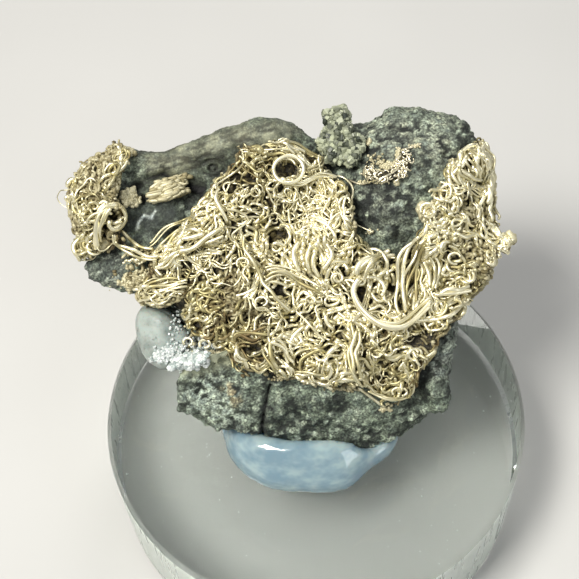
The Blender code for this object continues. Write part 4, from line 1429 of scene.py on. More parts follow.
@dataclass
class SilverMat:
    """The mat of curly silver wire over the front, the left lobe and the right end."""

    voxel: float = 0.32
    sink: float = 0.66
    seed: int = 20
    pieces: int = 2
    strand_rise: float = 0.5
    strand_steps: int = 38
    strand_sides: int = 7
    cell: float = 0.55
    fine: Wires = Wires(1500, 20, (2.5, 6.5), (0.1, 0.155), (-0.1, 1.0), 3, 0.8)
    medium: Wires = Wires(1750, 14, (1.8, 4.6), (0.17, 0.28), (0.1, 1.25), 3, 0.75)
    worms: Wires = Wires(1500, 8, (0.7, 1.7), (0.14, 0.22), (0.0, 0.5), 2, 1.2)
    rock_worms: Wires = Wires(420, 8, (0.8, 2.2), (0.14, 0.22), (0.1, 0.5), 3)
    crumb_count: int = 3000
    rock_crumbs: int = 500
    crumb_size: tuple[float, float] = (0.12, 0.28)
    crumb_lift: tuple[float, float] = (-0.05, 0.4)
    crust: SilverFinish = SilverFinish(
        "crusted_silver", linear(208, 201, 168), linear(156, 147, 112), linear(100, 88, 62), 0.52, 0.4,
    )
    holes: tuple[Spot, ...] = (
        (278, 288, 7), (291, 172, 7), (361, 292, 8), (255, 346, 8), (311, 159, 4), (135, 243, 4),
        (232, 190, 6), (184, 242, 4), (455, 258, 6), (248, 178, 5), (273, 234, 4), (283, 236, 4),
        (268, 200, 3), (282, 293, 5), (280, 175, 5), (248, 346, 6), (395, 300, 4),
        (112, 217, 5), (106, 227, 5), (105, 236, 4), (372, 300, 5), (236, 168, 4),
    )
    browned: tuple[Spot, ...] = (
        (245, 338, 24), (222, 312, 24), (205, 300, 16), (252, 165, 18), (212, 205, 12), (398, 372, 24),
        (440, 330, 18), (412, 290, 12), (470, 285, 14), (155, 275, 8), (330, 350, 10),
    )
    crusted: tuple[Spot, ...] = (
        (95, 180, 26), (75, 225, 20), (105, 160, 18), (120, 150, 10), (452, 240, 26), (480, 262, 20),
        (440, 205, 16), (235, 300, 24), (165, 285, 12), (350, 372, 12), (378, 298, 12), (140, 280, 16),
    )
    main_outline: tuple[Pixel, ...] = (
        (118, 262), (112, 275), (120, 287), (138, 297), (150, 305), (165, 303), (182, 296), (187, 300),
        (183, 312), (184, 325), (186, 350), (200, 355), (229, 352), (233, 365), (240, 380), (248, 378),
        (252, 370), (262, 378), (290, 378), (318, 385), (345, 390), (360, 393), (372, 400), (385, 408),
        (398, 404), (410, 398), (415, 385), (417, 370), (425, 362), (437, 338), (447, 325), (460, 312),
        (470, 296), (482, 283), (492, 270), (500, 258), (512, 250), (514, 236), (503, 232), (497, 222),
        (492, 205), (491, 165), (486, 148), (476, 140), (466, 143), (456, 150), (450, 160), (446, 172),
        (438, 180), (430, 200), (420, 206), (420, 216), (424, 222), (402, 244), (392, 254), (380, 249),
        (368, 246), (352, 234), (352, 222), (347, 190), (340, 182), (322, 170), (323, 160), (312, 152),
        (300, 145), (284, 140), (270, 141), (262, 148), (250, 152), (243, 148), (238, 152), (238, 165),
        (217, 182), (205, 200), (190, 220), (170, 236), (160, 246), (148, 252), (135, 250), (122, 256),
    )
    left_outline: tuple[Pixel, ...] = (
        (64, 216), (68, 207), (66, 195), (73, 184), (78, 175), (84, 162), (94, 156), (103, 152),
        (113, 143), (120, 138), (129, 146), (138, 153), (129, 162), (132, 172), (120, 178), (112, 193),
        (113, 203), (123, 207), (127, 218), (123, 227), (118, 232), (122, 240), (112, 247), (98, 251),
        (97, 257), (79, 261), (72, 253), (69, 237), (64, 222),
    )
    spill: float = 2.0
    hidden_spill: float = 5.0
    overhang: float = 22.0
    splay: float = 0.2
    zones: tuple[Zone, ...] = (
        Zone(300, 148, 20, -28, 0.8, 0.25), Zone(255, 163, 20, 50, 0.45, 1.0, 0.9, 0.5),
        Zone(215, 200, 22, -65, 0.4, 1.0, 1.1, 0.45), Zone(180, 238, 24, 38, 0.75, 0.35, 1.2),
        Zone(215, 255, 24, -35, 0.5, 0.8), Zone(170, 283, 20, 12, 0.6, 0.6, 1.2, 0.3),
        Zone(262, 205, 26, 20, 0.15, 1.5), Zone(300, 205, 24, -15, 0.4, 1.2, 0.8, 0.1),
        Zone(330, 205, 20, -10, 0.5, 0.9, 0.85), Zone(312, 258, 18, -78, 0.9, 0.3, 1.5, 0.1),
        Zone(278, 283, 16, -20, 0.6, 0.7), Zone(342, 240, 18, -55, 0.6, 0.7),
        Zone(235, 300, 28, -30, 0.1, 1.8, 0.9, 0.5), Zone(300, 318, 26, -30, 0.2, 1.5),
        Zone(345, 345, 24, -72, 0.55, 0.8, 1.4, 0.2), Zone(392, 358, 24, 60, 0.25, 1.4, 0.9, 0.4),
        Zone(408, 268, 20, 68, 0.95, 0.15, 1.4, 0.15), Zone(375, 298, 18, 20, 0.2, 1.6),
        Zone(452, 245, 26, 10, 0.1, 2.0, 1.1, 0.35), Zone(472, 168, 22, -72, 0.9, 0.3, 1.4, 0.15),
        Zone(440, 210, 20, -50, 0.3, 1.3, 1.2, 0.2), Zone(478, 275, 18, -40, 0.3, 1.5, 1.1, 0.4),
        Zone(100, 185, 30, 30, 0.1, 2.2, 1.1, 0.55), Zone(80, 240, 22, -60, 0.4, 1.2, 1.1, 0.6),
        Zone(455, 305, 18, 20, 0.4, 1.0), Zone(285, 358, 20, -68, 0.6, 0.6, 1.3, 0.3),
    )
    bundles: tuple[Bundle, ...] = (
        Bundle(((262, 145), (282, 143), (295, 145), (308, 151), (323, 159), (320, 165), (306, 170)),
               0.22, 2, 0.5),
        Bundle(((264, 150), (280, 149), (296, 152), (304, 161), (308, 169)), 0.2, lift=0.8, tarnish=0.2),
        Bundle(((242, 150), (243, 163), (235, 172), (223, 180), (218, 184), (217, 191)), 0.15),
        Bundle(((217, 191), (216, 199), (221, 209), (227, 221)), 0.36, lift=1.0, tarnish=0.0),
        Bundle(((227, 209), (237, 211), (246, 216), (249, 221)), 0.18, lift=0.9, tarnish=0.0),
        Bundle(((249, 221), (241, 227), (232, 235), (236, 242), (239, 248)), 0.15, lift=1.0),
        Bundle(((180, 251), (193, 248), (208, 236), (221, 228)), 0.3, lift=1.1, tarnish=0.0),
        Bundle(((155, 268), (167, 262), (180, 253)), 0.2, 2, 0.6),
        Bundle(((184, 231), (192, 229), (200, 232)), 0.22, lift=1.0, tarnish=0.0),
        Bundle(((182, 239), (193, 237), (203, 234)), 0.26, lift=1.1, tarnish=0.0),
        Bundle(((184, 255), (193, 262), (201, 266)), 0.29, lift=1.0, tarnish=0.0),
        Bundle(((205, 243), (214, 240), (223, 236)), 0.22, lift=1.0),
        Bundle(((244, 236), (244, 248), (251, 258), (259, 272), (263, 283), (271, 291), (277, 299),
                (290, 311)), 0.2, lift=1.2, tarnish=0.05),
        Bundle(((296, 311), (308, 323), (324, 341)), 0.21, lift=1.0, tarnish=0.0),
        Bundle(((299, 242), (294, 251), (295, 261), (299, 271)), 0.3, lift=1.1, tarnish=0.0),
        Bundle(((311, 245), (308, 253), (307, 261), (310, 273)), 0.23, lift=1.0),
        Bundle(((315, 253), (313, 260), (314, 268), (319, 277)), 0.27, lift=1.1, tarnish=0.0),
        Bundle(((327, 244), (332, 254), (328, 263), (323, 269)), 0.25, lift=1.1, tarnish=0.0),
        Bundle(((262, 276), (274, 271), (291, 271), (302, 276), (313, 285), (324, 295)),
               0.18, 3, 1.1, 1.0, 0.25),
        Bundle(((264, 282), (274, 276), (288, 274), (295, 278), (299, 284)), 0.16, lift=0.9),
        Bundle(((361, 275), (353, 287), (354, 298), (361, 310), (374, 321), (392, 327), (407, 323),
                (422, 309), (435, 295)), 0.27, 3, 0.62, 1.3, 0.05, 0.75),
        Bundle(((396, 252), (385, 254), (374, 259), (364, 268), (358, 277)), 0.3, 3, 1.0, 1.4, 0.05),
        Bundle(((435, 295), (453, 291), (471, 288)), 0.26, 2, 0.5, 0.9),
        Bundle(((410, 322), (424, 321), (438, 319), (455, 312), (468, 295)), 0.2, 2, 0.4, 0.7, 0.15),
        Bundle(((422, 237), (413, 246), (405, 261), (400, 281), (401, 296), (406, 312)), 0.22, 3, 1.3, 1.0),
        Bundle(((428, 238), (420, 250), (413, 266), (409, 282), (409, 298), (412, 312)),
               0.2, 3, 1.3, 0.7, 0.35),
        Bundle(((416, 262), (420, 276), (421, 292), (418, 306)), 0.2, 2, 0.8, 0.5, 0.5),
        Bundle(((430, 256), (437, 266), (438, 278), (434, 291)), 0.26, 2, 0.6, 0.9, 0.05),
        Bundle(((424, 262), (429, 274), (430, 286)), 0.34, lift=0.8),
        Bundle(((463, 146), (472, 157), (478, 170), (482, 181)), 0.19, 4, 1.4, 0.6),
        Bundle(((480, 142), (488, 154), (490, 170), (489, 188)), 0.19, 3, 0.9, 0.4),
        Bundle(((452, 160), (458, 172), (465, 184)), 0.19, 3, 1.0, 0.6),
        Bundle(((455, 190), (465, 189), (483, 194)), 0.19, 3, 0.8, 0.6),
        Bundle(((430, 194), (439, 190), (449, 187)), 0.2, 2, 0.6, 0.6, 0.0),
        Bundle(((421, 214), (424, 207), (431, 206), (435, 212), (430, 217), (424, 214)),
               0.24, 2, 0.5, 0.7, 0.0),
        Bundle(((486, 243), (497, 246), (505, 250), (509, 254)), 0.25, 2, 0.4, 0.2, 0.1),
        Bundle(((494, 237), (501, 239), (507, 234), (512, 236), (511, 242), (506, 243)), 0.24, lift=0.2),
        Bundle(((101, 249), (98, 232), (100, 217), (106, 208), (115, 205), (123, 210), (126, 218), (122, 227),
                (115, 230), (109, 226), (110, 219)), 0.26, 2, 0.5, 0.9, 0.05),
        Bundle(((95, 249), (96, 236), (98, 224), (102, 213), (109, 206)), 0.22, 3, 0.7, 0.8, 0.0),
        Bundle(((112, 231), (115, 243), (129, 251), (144, 256), (159, 258)), 0.24, 2, 0.55, 0.8, 0.05),
        Bundle(((122, 231), (132, 241), (141, 247), (153, 249)), 0.21, lift=0.8),
        Bundle(((147, 246), (161, 234), (179, 222), (197, 217)), 0.17, 2, 0.55, 0.8),
        Bundle(((156, 253), (167, 242), (182, 230), (199, 222)), 0.18, 2, 0.5, 0.8),
        Bundle(((70, 190), (61, 191), (57, 197), (61, 204), (69, 209)), 0.07, lift=0.1),
        Bundle(((74, 253), (80, 260), (93, 259), (98, 252)), 0.1, lift=0.3),
        Bundle(((137, 297), (150, 294), (168, 287), (188, 287)), 0.17, 4, 1.1, 0.5, 0.05),
        Bundle(((142, 290), (156, 287), (171, 280), (186, 280)), 0.15, 3, 0.9, 0.4, 0.2),
        Bundle(((146, 301), (160, 299), (172, 294), (184, 293)), 0.16, 3, 0.7, 0.4, 0.15),
        Bundle(((229, 350), (235, 337), (249, 337), (267, 334)), 0.2, 4, 1.1, 0.8, 0.75),
        Bundle(((236, 367), (233, 354), (240, 344), (251, 346)), 0.18, 3, 0.8, 0.6, 0.8),
        Bundle(((272, 339), (284, 349), (292, 364)), 0.26, 2, 0.6, 1.0, 0.0),
        Bundle(((266, 344), (271, 358), (276, 374)), 0.22, 3, 0.9, 0.8, 0.3),
        Bundle(((228, 351), (232, 362), (239, 371), (245, 364)), 0.14, lift=0.5),
        Bundle(((356, 321), (357, 339), (350, 353), (354, 373), (365, 388)), 0.3, 3, 1.1, 0.8, 0.3),
        Bundle(((367, 391), (387, 398), (405, 396), (413, 387), (411, 375)), 0.21, 2, 0.4, 0.6, 0.25),
        Bundle(((359, 388), (371, 397), (384, 407)), 0.22, lift=0.5, tarnish=0.0),
        Bundle(((300, 185), (315, 179), (335, 176), (347, 180), (353, 190), (350, 206), (351, 217)),
               0.11, lift=0.5, tarnish=0.0),
        Bundle(((344, 218), (357, 225), (373, 232)), 0.11, lift=0.35, tarnish=0.0),
        Bundle(((346, 220), (349, 226), (347, 233)), 0.1, lift=0.4, tarnish=0.0),
        Bundle(((286, 184), (300, 184), (309, 179), (320, 175), (337, 177)), 0.24, 2, 0.4, 0.9, 0.0),
    )
    coils: tuple[Coil, ...] = (
        Coil((288.5, 169.5), 15.5, 0.24, 1.1, 1.1, 0.9, shrink=0.05, tarnish=0.0),
        Coil((286, 167), 12.0, 0.15, 0.5, 0.7, 0.8, 0.45), Coil((243, 263), 6.5, 0.14, 0.8),
        Coil((337.5, 278), 6.2, 0.15, 1.3, shrink=0.5, tarnish=0.0),
        Coil((205, 344), 5.5, 0.2, 0.85, 0.9, tarnish=0.0), Coil((188, 342), 5.0, 0.16, 0.8, 0.5),
        Coil((462, 298), 7.0, 0.17, 0.8, 0.6), Coil((455, 258), 7.0, 0.18, 0.75, 0.7, start=0.2),
        Coil((400, 392), 8.0, 0.15, 0.8, 0.6, 0.6), Coil((262, 302), 7.0, 0.14, 0.8, shrink=0.4),
        Coil((218, 344), 4.5, 0.17, 0.8, 0.9, start=0.1, tarnish=0.0),
        Coil((311, 300), 5.5, 0.14, 1.1, shrink=0.5),
    )

    def __post_init__(self) -> None:
        """Starts the draws."""
        self.random = np.random.default_rng(self.seed)

    def felt(self) -> Skin:
        """The CAD mat, smoothed, sunk under the wires, crumbled, and pressed in at the holes.

        Returns:
            Its surface.
        """
        skin = Skin.of_node("wire_silver", self.voxel).eased(6)
        p = skin.points
        px = VIEW.pixels(p)
        rough, _ = grains(p, 0.8, 5)
        push = -self.sink + 0.22 * (0.55 - rough) + 0.5 * layered(p, 2.4, 2, 8)
        skin.pushed(push - 0.7 * spots(px, self.holes))
        skin.points = self.trimmed(skin.points)
        return skin.eased(1, 0.3)

    def trimmed(self, points: Array) -> Array:
        """Brings the points that are seen a little outside the outlines back onto them.

        Each moves square to the view, up the slope of its distance inside the outlines.

        Args:
            points: The mat's points.

        Returns:
            The points, moved where they overhang.
        """
        px = VIEW.pixels(points)
        over = np.maximum(-self.inside(px), 0.0)
        over = np.where(over < self.overhang, over, 0.0)
        slope = unit(np.stack([self.inside(px + step) - self.inside(px - step) for step in np.eye(2)], -1))
        right, up, forward = VIEW.axes()
        pixel_size = (points - VIEW.place()) @ forward / VIEW.focal_px
        return points + (over * pixel_size)[:, None] * (slope[:, :1] * right - slope[:, 1:] * up)

    def inside(self, pixels: Array) -> Array:
        """How far inside the silver's outlines each pixel lies."""
        return np.maximum(margin(pixels, self.main_outline), margin(pixels, self.left_outline))

    def seen(self, facings: Array, places: Array) -> Array:
        """Whether each point of a surface faces the camera."""
        return (facings * unit(VIEW.place() - places)).sum(-1) > 0.15

    def zone_of(self, pixels: Array) -> Array:
        """The zone that rules each pixel: the one whose soft mask is largest.

        Args:
            pixels: Rows of pixels.

        Returns:
            The zones' numbers.
        """
        masks = [spot(pixels, (z.x, z.y), z.reach) + 1e-4 / (1.0 + np.hypot(*(pixels - (z.x, z.y)).T))
                 for z in self.zones]
        return np.argmax(masks, axis=0)

    def curls(self, ground: Ground, kind: Wires, where: Array | None = None) -> tuple[Array, Array, Array]:
        """Wires that wander over the ground in small bundles, each zone in its own way.

        The heading is the zone's, with a spread that its order narrows. The turn a millimetre is a
        constant and two sine waves, all scaled by the zone's curl. The height is a sine wave. A wire
        that leaves the silver's outlines or runs off the surface is left out.

        Args:
            ground: The surface.
            kind: The wires' size.
            where: How likely a wire is to start at each of the ground's points.

        Returns:
            The paths, the radii, and the tarnish with painted shade on the low wires.
        """
        random, steps = self.random, kind.steps
        groups = kind.count // max(1, (kind.siblings + 1) // 2)
        weights = np.ones(len(ground.places)) if where is None else where
        picked = random.choice(len(ground.places), groups, p=weights / weights.sum())
        sizes = random.integers(1, kind.siblings + 1, groups)
        group = np.repeat(np.arange(groups), sizes)
        rank = np.concatenate([np.arange(s) - (s - 1) / 2 for s in sizes])
        picked, wires = picked[group], len(group)
        place, normal = ground.places[picked], ground.facings[picked]
        zone = np.array([[z.heading, z.order, z.curl, z.thick, z.tarnish] for z in self.zones])
        zone = zone[self.zone_of(VIEW.pixels(place))]
        angle = np.radians(zone[:, 0]) + (random.normal(size=groups)[group] * (1.0 - zone[:, 1]) * 2.2
                                          + random.integers(0, 2, groups)[group] * math.pi)
        angle = angle + random.normal(size=wires) * self.splay
        axes = FACE.axes()
        ahead = np.cos(angle)[:, None] * axes[0] + np.sin(angle)[:, None] * axes[1]
        ahead = unit(ahead - normal * (ahead * normal).sum(-1, keepdims=True))
        side = np.cross(normal, ahead)
        thickness = random.uniform(*kind.radius, groups)[group] * zone[:, 3] ** 0.6
        spread = rank * thickness * 2.3
        long = random.uniform(*kind.length, groups)[group] * random.uniform(0.8, 1.15, wires)
        step = long / (steps - 1)
        along = np.linspace(0.0, 1.0, steps) * long[:, None]
        wave = random.uniform(0.8, 4.0, (2, groups))[:, group, None]
        phase = random.uniform(0.0, TAU, (3, groups))[:, group, None]
        swing = random.normal(size=(3, groups))[:, group, None] * np.array([0.8, 1.1, 0.9])[:, None, None]
        bent = swing[0] + swing[1] * np.sin(TAU * along / wave[0] + phase[0])
        bent = bent + swing[2] * np.sin(TAU * along / wave[1] + phase[1])
        turns = bent * zone[:, 2, None] * kind.wild * step[:, None]
        turns = turns + random.normal(size=(wires, steps)) * 0.03
        middle = random.uniform(*kind.lift, groups)[group, None] + random.normal(size=(wires, 1)) * 0.05
        rise = 0.28 * np.sin(TAU * along / (wave[0] * 0.8) + phase[2]) * random.uniform(0.2, 1.0, (wires, 1))
        heights = np.clip(middle + rise, -0.05, None)
        begun = place + side * spread[:, None]
        paths, lost = ground.walk(begun, ahead, normal, heights, np.clip(turns, -0.75, 0.75), step)
        radii = thickness[:, None] * (0.85 + 0.15 * np.cos(np.linspace(-2.6, 2.6, steps)))
        browned = spots(VIEW.pixels(place), self.browned)
        # Painted shade: the lower a wire lies in the mat, the more tarnish it gets, up to 0.6, which darkens
        # it as the shade deep in the tangle; the zone's share and the browned spots are real tarnish.
        low = np.clip(0.62 - 0.75 * heights, 0.0, 0.6)
        tarnish = zone[:, 4, None] * 0.5 + 0.38 * browned[:, None] + low
        tarnish = np.clip(tarnish + random.normal(size=(wires, 1)) * 0.16 - 0.14, 0.0, 1.0)
        px = VIEW.pixels(paths)
        allowed = np.where(self.seen(normal, place), self.spill, self.hidden_spill)
        kept = (lost <= 1) & (self.inside(px).min(1) > -allowed) & (spots(px, self.holes).max(1) < 0.7)
        return paths[kept], radii[kept], tarnish[kept]

    def strands(self, relief: Relief) -> Skin:
        """The wires that the photograph shows one by one, laid over the mat at their own pixels.

        Each bundle's line is bent through its corners and draped. A strand runs beside it at its own
        share of the width, swaying slowly, and thins towards its ends.

        Args:
            relief: The front's height.

        Returns:
            One surface with all of them.
        """
        random, skins, steps = self.random, [], self.strand_steps
        along = np.linspace(0.0, 1.0, steps)
        swell = np.sin(np.linspace(0.12, math.pi - 0.12, steps)) ** 0.35
        for bundle in self.bundles:
            pixels = bend(np.array(bundle.line, float), steps)
            middle = relief.drape(pixels, bundle.lift + self.rise(pixels))
            middle[:, 2] = np.convolve(np.pad(middle[:, 2], 4, "edge"), np.full(9, 1 / 9), "valid")
            ahead = unit(np.gradient(middle, axis=0))
            side = np.cross(ahead, np.array([0.0, 0.0, 1.0]))
            paths = np.zeros((bundle.strands, steps, 3))
            loose = min(1.0, bundle.width)
            for k in range(bundle.strands):
                share = (k + 0.5) / bundle.strands - 0.5
                sway = 0.3 * np.sin(TAU * along * random.uniform(0.5, 1.8) + random.uniform(0.0, TAU))
                offset = share * bundle.width * 1.15 + sway * loose
                wave = 0.2 * np.sin(TAU * along * random.uniform(0.5, 1.5) + random.uniform(0.0, TAU))
                strand = middle + side * offset[:, None]
                strand[:, 2] += (wave + random.uniform(-0.12, 0.12)) * loose
                cut = random.uniform(0.0, 0.14, 2) * loose
                paths[k] = self.shortened(strand, cut)
            radii = bundle.radius * (bundle.taper + (1.0 - bundle.taper) * swell)
            radii = radii * random.uniform(0.6, 1.2, (bundle.strands, 1))
            worn = 0.15 * np.sin(TAU * along * random.uniform(1.0, 3.0) + random.uniform(0.0, TAU))
            tone = bundle.tarnish + random.normal(size=(bundle.strands, 1)) * 0.16 + worn
            skins.append(tubes(FACE.to_world(paths), radii, np.clip(tone, 0.0, 1.0), self.strand_sides))
        for coil in self.coils:
            turn = coil.start * TAU + along * TAU * coil.turns
            grow = coil.radius_px * (1.0 - coil.shrink * along)
            oval = np.stack([grow * np.cos(turn), coil.squash * grow * np.sin(turn)], 1)
            pixels = oval + np.array(coil.centre)
            middle = relief.drape(pixels, coil.lift + self.rise(pixels))
            level = middle[:, 2].mean()
            middle[:, 2] = level + 0.35 * (middle[:, 2] - level) + 0.3 * (along - 0.5)
            radii = coil.wire * (0.7 + 0.3 * swell)
            tone = np.full((1, steps), coil.tarnish)
            skins.append(tubes(FACE.to_world(middle)[None], radii[None], tone, self.strand_sides))
        return Skin.joined(skins)

    def shortened(self, strand: Array, cut: Array) -> Array:
        """A strand with a share of its length cut off at each end, spread over as many points."""
        old = np.linspace(0.0, 1.0, len(strand))
        new = np.linspace(cut[0], 1.0 - cut[1], len(strand))
        return np.stack([np.interp(new, old, column) for column in strand.T], -1)

    def rise(self, pixels: Array) -> Array:
        """How much higher a strand lies where the mat is under it, and none of it on bare rock."""
        return self.strand_rise * np.clip(self.inside(pixels) / 6.0, 0.0, 1.0)

    def build(self, felt: Skin, rock: Skin, relief: Relief) -> None:
        """Makes the felt, the wires of three sizes, the crusts and the strands seen one by one.

        Args:
            felt: The mat's surface under the wires.
            rock: The rock's surface.
            relief: The front's height.
        """
        silver = SilverFinish().material()
        # The felt's dark finish is painted shade: it stands for the shadowed inside of the tangle.
        felt.made("silver_felt", "native_silver", [FeltFinish().material()], ["wire_silver"])
        ground = Ground(felt, self.cell, felt.facings() @ FACE.axes()[2] > -0.3)
        px = VIEW.pixels(ground.places)
        facing = ground.facings @ FACE.axes()[2]
        within = self.inside(px)
        covered = (within > 0.0) | ~self.seen(ground.facings, ground.places)
        crusted = spots(px, self.crusted)
        open_ = covered * (1.0 - 0.9 * spots(px, self.holes)) * (1.0 + 0.8 * (within < 8.0))
        even = open_ * (0.25 + 0.75 * np.clip(facing, 0.0, 1.0))
        fine = self.curls(ground, self.fine, even * (1.0 - 0.85 * crusted))
        medium = self.curls(ground, self.medium, even * (1.0 - 0.75 * crusted))
        worms = self.curls(ground, self.worms, open_ * (0.08 + crusted))
        bare_rock = self.bare_rock(rock, ground)
        beyond = self.curls(bare_rock, self.rock_worms)
        worms = [np.concatenate(pair) for pair in zip(worms, beyond)]
        order = np.argsort(fine[0][:, 0, 0])
        for k, part in enumerate(np.array_split(order, self.pieces)):
            skin = tubes(*(rows[part] for rows in fine), 5)
            skin.made(f"silver_curls_{k + 1}", "native_silver", [silver])
        tubes(*medium, 6).made("silver_wires", "native_silver", [silver])
        crust = self.crust.material()
        tubes(*worms, 5).made("silver_worms", "native_silver", [crust])
        crumbs = Skin.joined([self.crumbs(ground, open_ * (0.06 + crusted), self.crumb_count),
                              self.crumbs(bare_rock, np.ones(len(bare_rock.places)), self.rock_crumbs)])
        crumbs.made("silver_crumbs", "native_silver", [crust])
        self.strands(relief).made("silver_strands", "native_silver", [silver])

    def bare_rock(self, rock: Skin, mat: Ground) -> Ground:
        """The rock inside the silver's outlines that the mat leaves uncovered.

        Args:
            rock: The rock's surface.
            mat: The mat's surface.

        Returns:
            That part of the rock.
        """
        facings = rock.facings()
        mean, _, known = mat.at(rock.points)
        above = ((mean - rock.points) * facings).sum(-1) > -0.05
        within = self.inside(VIEW.pixels(rock.points)) > 0.5
        return Ground(rock, self.cell, within & self.seen(facings, rock.points) & ~(known & above))

    def crumbs(self, ground: Ground, where: Array, count: int) -> Skin:
        """Rounded grains of silver that lie on a surface.

        Args:
            ground: The surface.
            where: How likely a grain is at each of its points.
            count: How many grains.

        Returns:
            One surface with all of them.
        """
        random = self.random
        picked = random.choice(len(ground.places), count, p=where / where.sum())
        lift = random.uniform(*self.crumb_lift, (count, 1))
        centres = ground.places[picked] + ground.facings[picked] * lift
        half = random.uniform(*self.crumb_size, (count, 1)) * random.uniform(0.7, 1.3, (count, 3))
        # Painted shade: grains that lie low get 0.3 more tarnish, darker, as the shade deep in the mat; the
        # rest is random tarnish.
        tone = np.clip(random.normal(0.34, 0.2, count) + 0.3 * (lift[:, 0] < 0.2), 0.0, 1.0)
        return blocks(centres, half, turned(count, random), 0.55, tone)


@dataclass
class DomePatch:
    """The small patch of silver in the crack on the dome."""

    voxel: float = 0.2
    seed: int = 31
    threads: tuple[tuple[Pixel, ...], ...] = (
        ((349, 180), (361, 184), (373, 181), (386, 176), (396, 170), (401, 162)),
        ((403, 150), (412, 147), (421, 144)),
    )
    count: int = 90
    steps: int = 7
    thread_steps: int = 30
    thread_radius: float = 0.12
    thread_tarnish: float = 0.15

    def build(self, rock: Skin) -> None:
        """Makes the CAD patch as dark crumb, whose darkness is painted shade, with threads round it and small
        curls on it.

        Args:
            rock: The rock's surface.
        """
        random = np.random.default_rng(self.seed)
        skin = Skin.of_node("dome_silver", self.voxel).eased(3)
        rough, _ = grains(skin.points, 0.5, 3)
        skin.pushed(-0.3 + 0.2 * (0.5 - rough))
        # The felt's dark finish is painted shade under the small curls.
        felt = bpy.data.materials["tarnished_silver"]
        skin.made("dome_silver_felt", "native_silver", [felt], ["dome_silver"])
        silver = bpy.data.materials["native_silver"]
        ground = Ground(skin, 0.4, skin.facings() @ FACE.axes()[2] > 0.2)
        count, steps = self.count, self.steps
        picked = random.integers(0, len(ground.places), count)
        place, normal = ground.places[picked], ground.facings[picked]
        ahead = unit(np.cross(normal, random.normal(size=(count, 3))))
        turns = random.normal(size=(count, 1)) * 0.35 + random.normal(size=(count, steps)) * 0.15
        lifts = random.uniform(-0.05, 0.15, (count, 1)) + np.zeros((1, steps))
        paths, lost = ground.walk(place, ahead, normal, lifts, turns, random.uniform(0.08, 0.15, count))
        radii = random.uniform(0.08, 0.13, (count, 1)) * np.ones((1, steps))
        tone = np.clip(random.normal(0.42, 0.25, (count, 1)) + np.zeros((1, steps)), 0.0, 1.0)
        kept = lost == 0
        skins = [tubes(paths[kept], radii[kept], tone[kept], 5)]
        relief = Relief(np.concatenate([skin.points, rock.points]), RELIEF_CELL)
        for line in self.threads:
            middle = relief.drape(bend(np.array(line, float), self.thread_steps), self.thread_radius)
            radii = np.full((1, self.thread_steps), self.thread_radius)
            tone = np.full(radii.shape, self.thread_tarnish)
            skins.append(tubes(FACE.to_world(middle)[None], radii, tone, 7))
        Skin.joined(skins).made("dome_silver_curls", "native_silver", [silver])


@dataclass(frozen=True)
class Cluster:
    """Grains that sit together: the middle and spread in pixels, how many, their size and tarnish."""

    centre: Pixel
    spread: Pixel
    count: int
    half_size: float
    tarnish: float = 0.2


@dataclass
class CrystalCrust:
    """A CAD solid covered with small blocky crystals."""

    node: str
    slot: str
    count: int
    half_size: tuple[float, float]
    stain: Rgb
    bright: Rgb
    squareness: float
    finish: CrystalFinish
    voxel: float = 0.22
    swell: float = 0.1
    seed: int = 7
    plain_from: float = 600.0
    plain_over: float = 14.0
    plain: Rgb = linear(150, 153, 130)
    lift: tuple[float, float] = (-0.05, 0.1)
    scattered: tuple[Cluster, ...] = ()

    def build(self, relief: Relief) -> bpy.types.Object:
        """The solid, roughened, with crystals of random turn and size set half into it.

        Right of the pixel plain_from it is a smooth ledge of rock without crystals.

        Args:
            relief: The front's height, for the scattered crystals.

        Returns:
            The crust.
        """
        random = np.random.default_rng(self.seed)
        core = Skin.of_node(self.node, self.voxel).eased(1)
        rough, name = grains(core.points, 0.6, self.seed)
        plain = np.clip((VIEW.pixels(core.points)[:, 0] - self.plain_from) / self.plain_over, 0.0, 1.0)
        core.pushed((self.swell + 0.2 * (0.5 - rough)) * (1.0 - plain) - 0.3 * plain)
        share = np.clip(0.25 + 0.4 * layered(core.points, 1.5, 3, 4) + 0.3 * (name > 0.7), 0.0, 1.0)
        core.tones["stain"] = blended(blended(self.stain, self.bright, share), self.plain, plain)
        picked = random.choice(len(core.points), self.count, p=(1.0 - plain) / (1.0 - plain).sum())
        centres, sizes = [core.points[picked]], [random.uniform(*self.half_size, self.count)]
        for cluster in self.scattered:
            placed = relief.scattered(random, cluster.centre, cluster.spread, cluster.count, self.lift)
            centres.append(placed)
            sizes.append(np.full(len(placed), cluster.half_size))
        centres, sizes = np.concatenate(centres), np.concatenate(sizes)[:, None]
        half = sizes * random.uniform(0.6, 1.3, centres.shape)
        tone = blended(self.stain, self.bright, random.normal(0.45, 0.36, len(centres)))
        crystals = blocks(centres, half, turned(len(centres), random), self.squareness, tone, 8)
        skin = Skin.joined([core, crystals])
        return skin.made(self.node + "_crust", self.slot, [self.finish.material()], [self.node], False)


KNOB = CrystalCrust(
    node="crystal_knob", slot="grey_crystal", count=640, half_size=(0.08, 0.34), squareness=0.35, swell=-0.25,
    stain=linear(46, 52, 42), bright=linear(192, 196, 168), finish=CrystalFinish("grey_crystal", 0.45, 0.0),
)
DRUSE = CrystalCrust(
    node="white_druse", slot="white_crystal", count=420, half_size=(0.1, 0.26), squareness=0.3, seed=9,
    stain=linear(176, 188, 186), bright=linear(255, 255, 255), plain_from=197.0,
    finish=CrystalFinish("white_crystal", 0.2, 0.1),
    scattered=(
        Cluster((160, 357), (6.0, 3.2), 110, 0.15), Cluster((170, 350), (8.0, 4.0), 90, 0.13),
        Cluster((186, 346), (7.0, 4.0), 50, 0.14), Cluster((203, 344), (8.0, 5.0), 50, 0.13),
        Cluster((176, 325), (3.0, 10.0), 40, 0.11),
    ),
)


